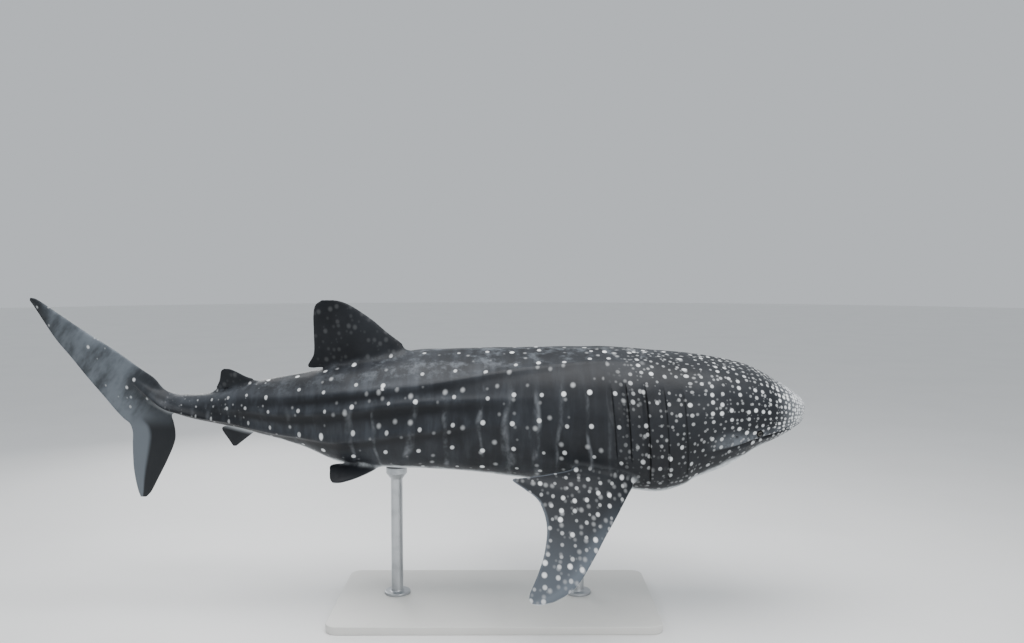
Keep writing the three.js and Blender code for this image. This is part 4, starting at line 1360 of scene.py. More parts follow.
def spots(shader, lattice, radius, softness, scatter, presence, variety, **more):
    """Pale spots in the cells of a lattice."""
    inputs = {"Lattice": lattice, "Radius": radius, "Softness": softness, "Scatter": scatter,
              "Presence": presence, "Variety": variety, **more}
    return shader.group_node("pale_spots", inputs).outputs[0]


def finer(shader, lattice, shift, times):
    """The lattice moved and made finer, for small spots between the main ones."""
    moved = shader.vector("ADD", lattice, (*shift, 0.0))
    return shader.vector("MULTIPLY", moved, (times, times, 1.0))


class SkinSockets:
    """Everything that the patterns of the skin are drawn from."""

    def __init__(self, shader):
        def vector(name):
            return shader.attribute(name).outputs["Vector"]

        self.position = shader.object_place()
        self.at, self.degrees, self.across = shader.parts(vector("skin_place"))
        self.trunk = vector("trunk_lattice")
        self.trunk_along, self.trunk_across, _ = shader.parts(self.trunk)
        self.cell = vector("trunk_cell")
        self.cell_length, _, _ = shader.parts(self.cell)
        self.head = vector("head_lattice")
        _, _, self.below_mouth = shader.parts(self.head)
        # painted shade in the gill slits, the mouth and the hollows of the head
        self.crease = shader.attribute("crease").outputs["Fac"]
        # painted highlight on and above each ridge and painted shade below it
        self.shade = shader.attribute("ridge_painted_light_and_shade").outputs["Fac"]
        self.fin_place = vector("fin_place")
        self.back_way, self.out_way, self.from_rear = shader.parts(self.fin_place)
        self.fin_share, self.under, self.from_front = shader.parts(vector("fin_share"))
        self.pectoral, self.dorsal, self.caudal = shader.parts(vector("fin_kind"))
        self.blotch = shader.noise(self.position, BLOTCH_SCALE, 4.0, 0.6)


def ground_colour(shader, skin, dark):
    """Dark skin with large blotches and upright streaks on the flanks, a painted highlight on the ridges
    with painted shade below them, and painted caustic light mottling the back.
    """
    streak_place = shader.combine(shader.math("MULTIPLY", skin.at, STREAKS_PER_METRE),
                                  shader.math("MULTIPLY", skin.trunk_across, 0.5))
    # the streaks fade out in the painted shade below the ridges
    streak = shader.product(
        shader.step(shader.noise(streak_place, 1.0, 3.0, 0.6), 0.40, 0.74),
        shader.step(skin.at, 1.15, 2.2, 0.0, 0.52), shader.step(skin.shade, -0.5, 0.3))
    blotch = shader.step(skin.blotch, 0.3, 0.75, 0.02, 0.34)
    # painted highlight on the ridges and painted shade below them, over the random blotches
    tone = shader.math("MULTIPLY_ADD", skin.shade, 0.34, blotch)
    ground = shader.mix(shader.math("ADD", tone, streak, clamp=True), dark, MID_TONE)
    # painted caustic light from above: pale mottling over the back above the upper ridge, from behind the
    # head, less towards the tail
    painted_caustic_light = shader.product(
        shader.step(shader.noise(skin.position, BACK_CAUSTIC_LIGHT_SCALE, 5.0, 0.68), 0.47, 0.68, 0.0, 0.46),
        shader.step(skin.across, 0.60, 1.10, 1.0, 0.0), shader.step(skin.at, 0.8, 1.4),
        shader.step(skin.at, 3.0, 3.7, 1.0, 0.45))
    return shader.mix(painted_caustic_light, ground, BACK_CAUSTIC_LIGHT_TONE)


def pale_bars(shader, skin):
    """Thin wavy bars midway between the rows of spots, broken, and faint towards the tail."""
    wander_place = shader.combine(shader.math("MULTIPLY", skin.trunk_along, 0.8),
                                  shader.math("MULTIPLY", skin.trunk_across, 0.35))
    wander = shader.math("SUBTRACT", shader.noise(wander_place, 1.0, 2.0, 0.45), 0.5)
    wandered = shader.math("MULTIPLY_ADD", wander, BAR_WANDER, skin.trunk_along)
    beside = shader.math("ABSOLUTE", shader.math("SUBTRACT", shader.math("FRACT", wandered), 0.5))
    away = shader.math("MULTIPLY", beside, skin.cell_length)
    bar = shader.step(away, 0.0, BAR_HALF_WIDTH, 1.0, 0.0)
    broken_place = shader.combine(shader.math("MULTIPLY", skin.trunk_along, 1.7),
                                  shader.math("MULTIPLY", skin.trunk_across, 1.1), 7.0)
    broken = shader.noise(broken_place, 1.0, 3.0, 0.6)
    return shader.product(
        bar, shader.step(broken, 0.42, 0.72, 0.02, 0.46), shader.step(skin.across, 1.2, 2.3),
        shader.step(skin.at, 1.40, 1.65), shader.step(skin.at, 3.0, 3.7, 1.0, 0.30))


def trunk_spots(shader, skin, radius):
    """One spot in each cell of upright rows, small faint ones between; both fade at the tail."""
    main = spots(
        shader, shader.vector("SUBTRACT", skin.trunk, (0.16, 0.16, 0.0)),
        radius=shader.step(skin.at, 3.7, 4.8, radius, 0.45 * radius), softness=0.36, scatter=0.25,
        presence=0.94, variety=0.20, Least=0.52, Cell=skin.cell)
    minor = spots(
        shader, finer(shader, skin.trunk, (0.37, 0.61), 2.0),
        radius=shader.step(skin.at, 3.3, 4.3, 0.0105, 0.0042), softness=0.8, scatter=0.8,
        presence=0.42, variety=0.4, Cell=shader.vector("MULTIPLY", skin.cell, (0.5, 0.5, 0.0)))
    return shader.product(
        shader.math("MAXIMUM", main, shader.math("MULTIPLY", minor, SMALL_ON_TRUNK)),
        shader.step(skin.at, 1.08, 1.42), shader.step(skin.at, 3.9, 4.5, 1.0, 0.40),
        shader.step(skin.at, 4.65, 4.95, 1.0, 0.0))


def head_spots(shader, skin):
    """Spots in cells that shrink towards the snout, where they crowd and run together."""
    swell = shader.math("MULTIPLY", shader.step(skin.at, 0.03, 0.36, 0.36, 0.195),
                        shader.step(skin.at, 0.30, 1.0, 1.0, 0.74))
    main = spots(
        shader, skin.head, radius=swell, softness=0.34, scatter=0.45,
        presence=shader.step(skin.at, 0.3, 0.9, 1.0, 0.9), variety=0.28,
        Least=shader.step(skin.at, 0.08, 0.50, 0.85, 0.24))
    minor = spots(
        shader, finer(shader, skin.head, (0.3, 0.7), 2.15), radius=0.20, softness=0.6, scatter=0.8,
        presence=0.36, variety=0.4)
    # painted shade: the spots fade below the mouth line, under the jaw
    return shader.product(
        shader.math("MAXIMUM", main, shader.math("MULTIPLY", minor, SMALL_ON_HEAD)),
        shader.step(skin.at, 1.12, 1.50, 1.0, 0.0), shader.step(skin.below_mouth, -1.0, 6.0, 1.0, 0.55))


def pale_lip(shader, skin):
    """A cloudy pale band over the upper lip, from the snout to a little behind the eye: partly pale patches
    of the skin, partly painted light where light from above falls on the lip.
    """
    return shader.product(
        shader.step(shader.noise(skin.position, LIP_CLOUD_SCALE, 4.0, 0.6), 0.36, 0.66, 0.15, 0.60),
        shader.step(skin.below_mouth, -20.0, -5.0), shader.step(skin.below_mouth, -3.0, 0.5, 1.0, 0.0),
        shader.step(skin.at, 0.14, 0.34), shader.step(skin.at, 0.62, 0.84, 1.0, 0.0))


def white_underside(shader, skin):
    """1 below an uneven border on the lower flank, 0 above it, less at the tail."""
    border = shader.math("SUBTRACT", shader.noise(skin.position, BORDER_SCALE, 4.0, 0.6), 0.5)
    below = shader.math("SUBTRACT", skin.degrees, shader.step(skin.at, 0.4, 1.3, 124.0, 141.0))
    white = shader.step(shader.math("MULTIPLY_ADD", border, BORDER_DEGREES, below), -2.0, 12.0)
    return shader.math("MULTIPLY", white, shader.step(skin.at, 3.7, 4.7, 1.0, 0.35))


def fin_lattice(shader, skin, per_metre):
    """Square cells on a fin, so many per metre."""
    return shader.vector("MULTIPLY", skin.fin_place, (per_metre, per_metre, 0.0))


def wing_colour(shader, skin, dark, pale):
    """A pectoral fin: rows of spots on dark skin that pales to the tip and along both edges."""
    lattice = fin_lattice(shader, skin, 1.0 / FIN_SPOT_SPACING)
    main = spots(
        shader, lattice, radius=shader.step(skin.out_way, 0.1, 1.0, 0.140, 0.165), softness=0.42,
        scatter=0.42, presence=0.95, variety=0.28)
    minor = spots(
        shader, finer(shader, lattice, (0.4, 0.3), 1.9), radius=0.22, softness=0.8, scatter=0.8,
        presence=0.45, variety=0.4)
    marks = shader.math("MAXIMUM", main, shader.math("MULTIPLY", minor, SMALL_ON_WING))
    tone = shader.step(skin.out_way, 0.30, 1.10, 0.08, 0.72)
    front = shader.math("MULTIPLY", shader.step(skin.from_front, 0.01, 0.13, 0.55, 0.0),
                        shader.step(skin.out_way, 0.10, 0.60))
    rear = shader.step(skin.from_rear, 0.006, 0.030, 0.75, 0.0)
    tone = shader.math("MAXIMUM", shader.math("ADD", tone, front, clamp=True), rear)
    return shader.mix(marks, shader.mix(tone, dark, WING_TONE), pale)


def sail_colour(shader, skin, dark, pale):
    """A dorsal fin: dark, with a hint of spots."""
    lattice = fin_lattice(shader, skin, SAIL_SPOTS_PER_METRE)
    faint = spots(shader, lattice, radius=0.22, softness=0.7, scatter=1.0, presence=0.6, variety=0.5)
    plain = shader.mix(shader.step(skin.blotch, 0.35, 0.7, 0.0, 0.28), dark, MID_TONE)
    hint = shader.math("MULTIPLY", faint, shader.math("MULTIPLY", skin.dorsal, 0.05))
    return shader.mix(hint, plain, pale)


def tail_colour(shader, skin, dark, pale):
    """Upper lobe grey with pale patches of painted light from above and a dark tip; lower lobe with painted
    shade in front and painted light behind.
    """
    tail_light_place = shader.combine(shader.math("MULTIPLY_ADD", skin.out_way, 0.7, skin.back_way),
                                  shader.math("MULTIPLY", skin.out_way, 0.6))
    behind = shader.math("SUBTRACT", skin.back_way, TAIL_START)
    # painted light from above on the upper lobe, in pale patches, darker at the tip and towards the root
    upper = shader.product(
        shader.step(shader.noise(tail_light_place, TAIL_LIGHT_PATCH_SCALE, 4.0, 0.60), 0.36, 0.64, 0.24, 1.0),
        shader.step(behind, 0.86, 1.02, 1.0, 0.12), shader.step(behind, 0.0, 0.35, 0.30, 1.0))
    chord = shader.math("ADD", skin.from_front, skin.from_rear)
    chord_share = shader.math("DIVIDE", skin.from_front, chord)
    # painted shade on the front of the lower lobe, painted light on its rear
    lower = shader.step(chord_share, 0.50, 0.64, 0.04, 0.90)
    is_lower = shader.step(skin.out_way, -0.24, -0.12, 1.0, 0.0)
    share = shader.node("ShaderNodeMix", {0: is_lower, 2: upper, 3: lower}).outputs[0]
    few = spots(
        shader, fin_lattice(shader, skin, TAIL_SPOTS_PER_METRE), radius=0.11, softness=0.6,
        scatter=1.0, presence=0.22, variety=0.35)
    few = shader.math("MULTIPLY", few, shader.step(skin.out_way, -0.20, 0.0, 0.0, 0.8))
    return shader.mix(few, shader.mix(share, dark, TAIL_PAINTED_LIGHT_TONE), pale)


def body_colour(shader, skin, settings, marks):
    """The body's ground, bars, pale snout and lip, spots and white underside, and the underside alone."""
    colour = ground_colour(shader, skin, tuple(settings.back_colour))
    colour = shader.mix(pale_bars(shader, skin), colour, BAR_TONE)
    colour = shader.mix(shader.step(skin.at, 0.05, 0.33, 0.46, 0.0), colour, SNOUT_TONE)
    colour = shader.mix(pale_lip(shader, skin), colour, LIP_TONE)
    colour = shader.mix(marks, colour, tuple(settings.spot_colour))
    clouds = shader.noise(skin.position, BELLY_CLOUD_SCALE, 3.0, 0.5)
    cloud = shader.step(clouds, 0.4, 0.75, 0.0, 0.30)
    belly = shader.mix(cloud, tuple(settings.belly_colour), BELLY_CLOUD_TONE)
    return shader.mix(white_underside(shader, skin), colour, belly), belly


def fin_colour(shader, skin, settings, belly):
    """Each fin by its kind, the paired ones pale below."""
    dark = tuple(settings.back_colour)
    pale = tuple(settings.spot_colour)
    wing_below = shader.math("MULTIPLY", skin.under, 0.85)
    wing = shader.mix(wing_below, wing_colour(shader, skin, dark, pale), belly)
    sail = sail_colour(shader, skin, dark, pale)
    tail = tail_colour(shader, skin, dark, pale)
    colour = shader.mix(shader.math("MULTIPLY", skin.under, 0.5), sail, belly)
    for kind, kind_colour in ((skin.pectoral, wing), (skin.dorsal, sail), (skin.caudal, tail)):
        colour = shader.mix(kind, colour, kind_colour)
    return colour


def skin_material(settings):
    """Dark back with rows of pale spots and bars, white belly, marked fins and painted shade in the creases.
    """
    spots_group()
    grain_group()
    material, shader, surface = new_material("shark_skin")
    skin = SkinSockets(shader)
    marks = shader.math("MAXIMUM", trunk_spots(shader, skin, settings.spot_radius), head_spots(shader, skin))
    colour, belly = body_colour(shader, skin, settings, marks)
    colour = shader.mix(skin.fin_share, colour, fin_colour(shader, skin, settings, belly))
    # painted shade in the gill slits, the mouth and the hollows of the head
    colour = shader.mix(shader.math("MULTIPLY", skin.crease, 0.9), colour, CREASE_SHADE_TONE)

    inputs = {"Vector": skin.position, "Scale": 420.0, "Roughness": 0.52, "Spread": 0.20}
    grain = shader.group_node("fine_grain", inputs)
    stretched = shader.vector("MULTIPLY", skin.position, (1.0, 0.45, 0.45))
    wrinkle = shader.noise(stretched, WRINKLE_SCALE, 4.0, 0.6)
    height = shader.math("MULTIPLY_ADD", wrinkle, 2.0, grain.outputs["Height"])
    height = shader.math("MULTIPLY_ADD", marks, 0.25, height)
    shader.feed(surface, {
        "Base Color": colour,
        "Roughness": shader.math("MULTIPLY_ADD", marks, 0.06, grain.outputs["Roughness"]),
        "Normal": shader.bump(height, 0.35, 0.0012),
        "Coat Weight": 0.05, "Coat Roughness": 0.25, "Specular IOR Level": 0.22,
    })
    return material


def eye_material():
    """Black pupil, dark grey-brown iris with fine rays, a dark ring round it and a wet coat."""
    material, shader, surface = new_material("shark_eye")
    along, across, away = shader.parts(shader.attribute("gaze").outputs["Vector"])
    oval = shader.vector("LENGTH", shader.combine(shader.math("MULTIPLY", along, 0.86), across))
    angle = shader.math("ARCTAN2", across, along)
    ray_place = shader.combine(shader.math("MULTIPLY", angle, 9.0), shader.math("MULTIPLY", away, 2.0))
    iris = shader.mix(shader.noise(ray_place, 1.0, 3.0, 0.6), *IRIS_TONES)
    iris = shader.mix(shader.step(oval, 0.40, 0.46, 1.0, 0.0), iris, PUPIL_TONE)
    shader.feed(surface, {
        "Base Color": shader.mix(shader.step(oval, 0.60, 0.68), iris, EYE_RING_TONE),
        "Roughness": 0.20, "Specular IOR Level": 0.10, "Coat Weight": 0.45, "Coat Roughness": 0.04,
    })
    return material


def grained_material(name, scale, roughness, spread, bump=None):
    """A material with fine grain in its roughness, and in its surface where bump says how much."""
    grain_group()
    material, shader, surface = new_material(name)
    position = shader.object_place()
    inputs = {"Vector": position, "Scale": scale, "Roughness": roughness, "Spread": spread}
    grain = shader.group_node("fine_grain", inputs)
    shader.feed(surface, {"Roughness": grain.outputs["Roughness"]})
    if bump is not None:
        shader.feed(surface, {"Normal": shader.bump(grain.outputs["Height"], *bump)})
    return material, shader, surface, position


def darker(colour, share):
    """That share of the colour's light."""
    return tuple(share * part for part in colour[:3]) + (1.0,)


def paint_material(settings):
    """Satin paint with a fine orange peel and faint marks of handling."""
    material, shader, surface, position = grained_material("stand_paint", 160.0, 0.42, 0.18, (0.18, 0.0006))
    paint = tuple(settings.paint_colour)
    marks = shader.step(shader.noise(position, 3.5, 5.0, 0.65), 0.5, 0.8, 0.0, 0.25)
    shader.feed(surface, {"Base Color": shader.mix(marks, paint, darker(paint, 0.82))})
    return material


def steel_material():
    """Brushed steel: fine scratches round the rod vary its roughness and its surface."""
    material, shader, surface = new_material("rod_steel")
    position = shader.object_place()
    brushed = shader.vector("MULTIPLY", position, (6.0, 6.0, 90.0))
    scratches = shader.noise(brushed, 6.0, 5.0, 0.7)
    smudge = shader.step(shader.noise(position, 9.0, 3.0, 0.5), 0.35, 0.8)
    shader.feed(surface, {
        "Base Color": shader.mix(smudge, *STEEL_TONES),
        "Roughness": shader.step(scratches, 0.2, 0.8, 0.26, 0.44),
        "Normal": shader.bump(scratches, 0.12, 0.0003),
        "Metallic": 1.0,
    })
    return material


def rubber_material():
    """Black rubber of the pad under the belly."""
    material, shader, surface, position = grained_material("pad_rubber", 700.0, 0.68, 0.2, (0.3, 0.0005))
    shader.feed(surface, {"Base Color": shader.mix(shader.noise(position, 30.0), *RUBBER_TONES)})
    return material


def floor_material(settings):
    """Plain pale floor with hardly visible cloudiness."""
    material, shader, surface, position = grained_material("studio_floor", 40.0, 0.6, 0.1)
    base = tuple(settings.floor_colour)
    cloud = shader.step(shader.noise(position, 0.7, 4.0, 0.55), 0.35, 0.75)
    shader.feed(surface, {"Base Color": shader.mix(cloud, base, darker(base, 0.97))})
    return material


# Eyes, stand and studio

def build_eye(side, name):
    """A ball with a slightly fuller cornea: rings of growing angle from the line of sight."""
    centre, along, round_it, out = local_frame(*EYE_PLACE, side)
    centre = centre - out * EYE_SUNK
    away = np.linspace(0.0, np.pi, 34)[1:-1]
    turn = np.linspace(0.0, 2.0 * np.pi, 48, endpoint=False)
    fuller = EYE_RADIUS * (1.0 + bell(away, CORNEA_SWELL, 0.0, CORNEA_WIDTH))
    ring = np.cos(turn)[:, None] * along + np.sin(turn)[:, None] * round_it
    points = (centre + np.cos(away)[:, None, None] * out * fuller[:, None, None]
              + np.sin(away)[:, None, None] * ring[None] * fuller[:, None, None])
    front = centre + out * EYE_RADIUS * (1.0 + CORNEA_SWELL)
    rear = centre - out * EYE_RADIUS
    shell = Shell(points, away / np.pi, np.linspace(0.0, 1.0, 49), WHOLE_CHART, front, rear)
    mesh = shells_to_mesh(name, [shell])
    offset = shell.points - centre
    gaze = np.array([offset @ along, offset @ round_it, np.linalg.norm(offset, axis=1)]) / EYE_RADIUS
    gaze[:, offset @ out < 0] = 1.0
    write_attribute(mesh, "gaze", *gaze)
    set_points(mesh, lay_on_stand(shell.points))
    dress(mesh, eye_material())
    return link_object(name, mesh)


def rounded_outline(inset, steps):
    """Corner arcs of a rectangle with round corners, drawn in by the inset."""
    turn = np.linspace(0.0, np.pi / 2.0, steps)
    radius = BASE_CORNER - inset
    centres = ((1, 1), (-1, 1), (-1, -1), (1, -1))
    arcs = []
    for k, (sign_x, sign_y) in enumerate(centres):
        angle = turn + k * np.pi / 2.0
        x = sign_x * (BASE_LENGTH / 2.0 - BASE_CORNER) + radius * np.cos(angle)
        y = sign_y * (BASE_WIDTH / 2.0 - BASE_CORNER) + radius * np.sin(angle)
        arcs.append(np.stack([x, y], axis=1))
    return np.concatenate(arcs)


def build_base(settings):
    """A plate: the rounded outline carried up a section with quarter-round edges."""
    turn = np.linspace(0.0, np.pi / 2.0, 7)
    low = [(BASE_BEVEL * (1 - math.sin(a)), BASE_BEVEL * (1 - math.cos(a))) for a in turn]
    high = [(inset, BASE_THICKNESS - level) for inset, level in reversed(low)]
    rows = []
    for inset, level in low + high:
        outline = rounded_outline(inset, 20)
        rows.append(np.concatenate([outline, np.full((len(outline), 1), level)], axis=1))
    points = np.array(rows)
    columns = np.linspace(0, 1, points.shape[1] + 1)
    shell = Shell(points, np.linspace(0, 1, len(rows)), columns, WHOLE_CHART)
    mesh = shells_to_mesh("stand_base_plate", [shell])
    mesh.uv_layers.remove(mesh.uv_layers["OFBake"])
    dress(mesh, paint_material(settings))
    mesh.set_sharp_from_angle(angle=math.radians(BASE_SHARP_DEGREES))
    mesh.update()
    return link_object("stand_base_plate", mesh)


def rod_sketch(x):
    """Radius and level of a rod's profile from its foot up, and the level where its rubber starts.

    A flange with rounded edges, the rod, a cone, and a pad that runs on inside the belly.
    """
    foot = BASE_THICKNESS + GAP
    belly = AXIS_HEIGHT + float(belly_level(SNOUT_X - x)) * math.cos(BODY_ROLL)
    pad_foot = belly - PAD_BELOW
    flange_top = foot + ROD_FLANGE_HEIGHT
    groove = ROD_PAD - PAD_GROOVE
    sketch = [(0.0, foot), (ROD_FLANGE - 0.002, foot), (ROD_FLANGE, foot + 0.002)]
    for turn in np.linspace(0.0, math.pi / 2.0, 5):
        sketch.append((ROD_FLANGE - ROD_FLANGE_ROUND * (1 - math.cos(turn)),
                       flange_top - ROD_FLANGE_ROUND * (1 - math.sin(turn))))
    for turn in np.linspace(0.0, math.pi / 2.0, 6):
        sketch.append((ROD_RADIUS + ROD_FLANGE_FILLET * (1 - math.sin(turn)),
                       flange_top + ROD_FLANGE_FILLET * (1 - math.cos(turn))))
    sketch.append((ROD_RADIUS, pad_foot - PAD_CONE - 0.004))
    sketch.append((ROD_RADIUS + 0.002, pad_foot - PAD_CONE))
    sketch.append((groove, pad_foot))
    sketch.append((ROD_PAD, pad_foot + 0.004))
    sketch.append((ROD_PAD, belly - 0.034))
    sketch.append((groove, belly - 0.032))
    sketch.append((groove, belly - 0.030))
    rubber_foot = belly - 0.030
    sketch.append((ROD_PAD, belly - 0.028))
    sketch.append((ROD_PAD, AXIS_HEIGHT - ROD_INSIDE))
    return sketch, rubber_foot


def build_rod(name, x, skin, steel, rubber):
    """A turned rod: its profile swept round, then cut by the skin of the belly."""
    sketch, rubber_foot = rod_sketch(x)
    profile = np.array(sketch[1:])
    turn = np.linspace(0.0, 2.0 * np.pi, ROD_SIDES, endpoint=False)
    points = np.stack([
        x + profile[:, 0:1] * np.cos(turn), ROD_SIDE + profile[:, 0:1] * np.sin(turn),
        np.repeat(profile[:, 1:2], ROD_SIDES, axis=1),
    ], axis=-1)
    shell = Shell(points, np.linspace(0, 1, len(profile)), np.linspace(0, 1, ROD_SIDES + 1), WHOLE_CHART,
                  first_tip=(x, ROD_SIDE, sketch[0][1]), last_tip=(x, ROD_SIDE, sketch[-1][1]))
    mesh = shells_to_mesh(name, [shell])
    rod = link_object(name, mesh)
    cut = apply_boolean(rod, skin, "DIFFERENCE")
    rod.data = cut
    bpy.data.meshes.remove(mesh)
    cut.name = name
    centres = np.zeros(len(cut.polygons) * 3, dtype=np.float32)
    cut.polygons.foreach_get("center", centres)
    in_rubber = centres.reshape(-1, 3)[:, 2] > rubber_foot
    dress(cut, steel, rubber)
    cut.polygons.foreach_set("material_index", in_rubber.astype(np.int32))
    cut.uv_layers.remove(cut.uv_layers["OFBake"])
    cut.set_sharp_from_angle(angle=math.radians(ROD_SHARP_DEGREES))
    cut.update()
    return rod


def build_floor(settings):
    """A wide disc: rings of growing radius round the stand."""
    radius = np.linspace(0.0, 1.0, 12)[1:] ** 1.5 * FLOOR_RADIUS
    turn = np.linspace(0.0, 2.0 * np.pi, 96, endpoint=False)
    x = radius[:, None] * np.cos(turn)
    y = radius[:, None] * np.sin(turn)
    points = np.stack([x, y, np.full_like(x, FLOOR_LEVEL)], axis=-1)
    count = len(turn)
    faces, _, _ = grid_faces(len(radius), count)
    middle = len(radius) * count
    ring = np.arange(count)
    fan = np.stack([np.full(count, middle), ring, np.roll(ring, -1)], axis=-1)
    mesh = bpy.data.meshes.new("studio_floor")
    vertices = np.concatenate([points.reshape(-1, 3), [(0.0, 0.0, FLOOR_LEVEL)]])
    mesh.from_pydata(vertices.tolist(), [], [face[::-1] for face in faces.tolist()] + fan.tolist())
    mesh.materials.append(floor_material(settings))
    mesh.update()
    return link_object("studio_floor", mesh)


def camera_matrix():
    """The camera looks so that its target shows at the given pixel, level from side to side."""
    target = np.array(CAMERA_TARGET)
    back = np.array([
        math.sin(CAMERA_AZIMUTH) * math.cos(CAMERA_ELEVATION),
        -math.cos(CAMERA_AZIMUTH) * math.cos(CAMERA_ELEVATION), math.sin(CAMERA_ELEVATION),
    ])
    place = target + back * CAMERA_DISTANCE
    x = (TARGET_PIXEL[0] - IMAGE_SIZE[0] / 2.0) / FOCAL_PIXELS
    y = -(TARGET_PIXEL[1] - IMAGE_SIZE[1] / 2.0) / FOCAL_PIXELS
    length = math.sqrt(1.0 + x * x + y * y)
    fall = math.asin(-math.sin(CAMERA_ELEVATION) * length / math.sqrt(1.0 + y * y))
    pitch = fall - math.atan2(y, 1.0)
    level = math.cos(pitch) - y * math.sin(pitch)
    heading = math.atan2(-back[0], -back[1]) - math.atan2(x, level)
    flat = math.cos(pitch)
    ahead = Vector((math.sin(heading) * flat, math.cos(heading) * flat, math.sin(pitch)))
    right = Vector((math.cos(heading), -math.sin(heading), 0.0))
    up = right.cross(ahead)
    turn = Matrix((right, up, -ahead)).transposed().to_4x4()
    return Matrix.Translation(Vector(place)) @ turn


def add_lamp(name, place, aim, size, power):
    """A rectangular lamp that faces its aim."""
    lamp = bpy.data.lights.new(name, "AREA")
    lamp.shape = "RECTANGLE"
    lamp.size, lamp.size_y = size
    lamp.energy = power
    made = bpy.data.objects.new(name, lamp)
    facing = (Vector(aim) - Vector(place)).to_track_quat("-Z", "Y").to_matrix().to_4x4()
    made.matrix_world = Matrix.Translation(place) @ facing
    bpy.context.scene.collection.objects.link(made)


# Settings, operators and panel

class SkinSettings(bpy.types.PropertyGroup):
    """Colours and spots of the skin"""
    back_colour: bpy.props.FloatVectorProperty(
        name="Back colour", description="Dark colour of the back and flanks", subtype="COLOR", size=4,
        min=0.0, max=1.0, default=linear(20, 22, 26))
    spot_colour: bpy.props.FloatVectorProperty(
        name="Spot colour", description="Pale colour of the spots", subtype="COLOR", size=4,
        min=0.0, max=1.0, default=linear(238, 240, 241))
    belly_colour: bpy.props.FloatVectorProperty(
        name="Belly colour", description="Pale colour of the underside", subtype="COLOR", size=4,
        min=0.0, max=1.0, default=linear(214, 219, 222))
    spot_radius: bpy.props.FloatProperty(
        name="Spot radius", description="Radius of the main spots of the trunk", default=0.0138,
        min=0.005, max=0.06, unit="LENGTH")


class StandSettings(bpy.types.PropertyGroup):
    """Paint of the stand"""
    paint_colour: bpy.props.FloatVectorProperty(
        name="Base colour", description="Paint of the flat base", subtype="COLOR", size=4,
        min=0.0, max=1.0, default=linear(214, 213, 209))


class StageSettings(bpy.types.PropertyGroup):
    """Floor and light of the studio"""
    floor_colour: bpy.props.FloatVectorProperty(
        name="Floor colour", description="Plain pale floor", subtype="COLOR", size=4,
        min=0.0, max=1.0, default=linear(238, 238, 237))
    lamp_power: bpy.props.FloatProperty(
        name="Lamp power", description="Power of the lamp above the shark", default=540.0, min=0.0,
        unit="POWER")


class WHALESHARK_OT_skin(bpy.types.Operator):
    """Build the shark's skin with all of its fins"""
    bl_idname = "whaleshark.skin"
    bl_label = "Shark skin"

    def execute(self, context):
        piece = build_skin(context.scene.shark_skin_settings)
        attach(piece, "root")
        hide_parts("head_upper", "lower_jaw", "gill_region", "trunk_front", "trunk_middle",
                    "trunk_rear", "tail_base", "caudal_peduncle", "dorsal_fin_first", "dorsal_fin_second",
                    "anal_fin", "caudal_lobe_upper", "caudal_lobe_lower", "pectoral_fin_right",
                    "pectoral_fin_left", "pelvic_fin_right", "pelvic_fin_left", "nasal_barbel_right",
                    "nasal_barbel_left")
        return {"FINISHED"}


class WHALESHARK_OT_eyes(bpy.types.Operator):
    """Build the two eyes"""
    bl_idname = "whaleshark.eyes"
    bl_label = "Eyes"

    def execute(self, context):
        for side, word in ((1, "right"), (-1, "left")):
            piece = build_eye(side, f"eye_ball_{word}")
            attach(piece, "root")
            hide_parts(f"eye_{word}")
        return {"FINISHED"}


class WHALESHARK_OT_stand(bpy.types.Operator):
    """Build the flat base and the two rods"""
    bl_idname = "whaleshark.stand"
    bl_label = "Stand"

    def execute(self, context):
        skin = bpy.data.objects.get("shark_skin")
        if skin is None:
            raise RuntimeError("the skin comes before the stand, because the rods are cut to it")
        base = build_base(context.scene.shark_stand_settings)
        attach(base, "root")
        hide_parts("stand_base")
        steel = steel_material()
        rubber = rubber_material()
        for node, x in ROD_PLACES.items():
            rod = build_rod(f"{node}_turned", x, skin, steel, rubber)
            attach(rod, "root")
            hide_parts(node)
        return {"FINISHED"}


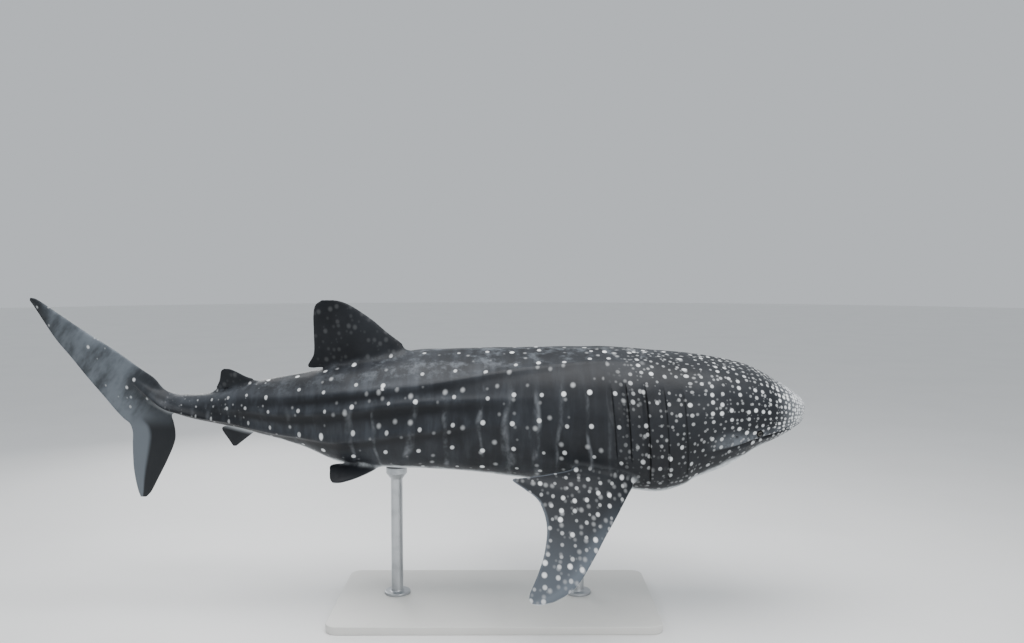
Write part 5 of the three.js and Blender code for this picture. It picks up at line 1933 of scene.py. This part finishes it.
class WHALESHARK_OT_stage(bpy.types.Operator):
    """Build the floor, the lamps and the camera"""
    bl_idname = "whaleshark.stage"
    bl_label = "Studio"

    def execute(self, context):
        settings = context.scene.shark_stage_settings
        build_floor(settings)
        world = bpy.data.worlds.new("studio_light")
        world.use_nodes = True
        background = world.node_tree.nodes["Background"]
        background.inputs["Color"].default_value = SKY_TONE
        background.inputs["Strength"].default_value = SKY_STRENGTH
        context.scene.world = world
        for name, place, aim, size, share in LAMPS:
            add_lamp(name, place, aim, size, settings.lamp_power * share)
        camera = bpy.data.cameras.new("camera")
        camera.sensor_width = SENSOR_WIDTH
        camera.lens = SENSOR_WIDTH * FOCAL_PIXELS / IMAGE_SIZE[0]
        camera.clip_end = 200.0
        made = bpy.data.objects.new("camera", camera)
        made.matrix_world = camera_matrix()
        context.scene.collection.objects.link(made)
        context.scene.camera = made
        return {"FINISHED"}


class WHALESHARK_PT_panel(bpy.types.Panel):
    """Lists the pieces in the sidebar"""
    bl_label = "Whale shark"
    bl_idname = "WHALESHARK_PT_panel"
    bl_space_type = "VIEW_3D"
    bl_region_type = "UI"
    bl_category = "Whale shark"

    def draw(self, context):
        scene = context.scene
        groups = (
            (scene.shark_skin_settings, ("back_colour", "spot_colour", "belly_colour", "spot_radius")),
            (scene.shark_stand_settings, ("paint_colour",)),
            (scene.shark_stage_settings, ("floor_colour", "lamp_power")),
        )
        for settings, names in groups:
            for name in names:
                self.layout.prop(settings, name)
        for operator in OPERATORS:
            self.layout.operator(operator.bl_idname)


OPERATORS = (WHALESHARK_OT_skin, WHALESHARK_OT_eyes, WHALESHARK_OT_stand, WHALESHARK_OT_stage)
CLASSES = (SkinSettings, StandSettings, StageSettings, *OPERATORS, WHALESHARK_PT_panel)


def register():
    """Adds the settings, the operators and the panel to Blender."""
    for made in CLASSES:
        bpy.utils.register_class(made)
    bpy.types.Scene.shark_skin_settings = bpy.props.PointerProperty(type=SkinSettings)
    bpy.types.Scene.shark_stand_settings = bpy.props.PointerProperty(type=StandSettings)
    bpy.types.Scene.shark_stage_settings = bpy.props.PointerProperty(type=StageSettings)


def unregister():
    """Takes them away again."""
    del bpy.types.Scene.shark_skin_settings
    del bpy.types.Scene.shark_stand_settings
    del bpy.types.Scene.shark_stage_settings
    for made in reversed(CLASSES):
        bpy.utils.unregister_class(made)


def main():
    """Builds every piece and the studio."""
    register()
    bpy.ops.whaleshark.skin()
    bpy.ops.whaleshark.eyes()
    bpy.ops.whaleshark.stand()
    bpy.ops.whaleshark.stage()
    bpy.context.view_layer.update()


if __name__ == "__main__":
    main()
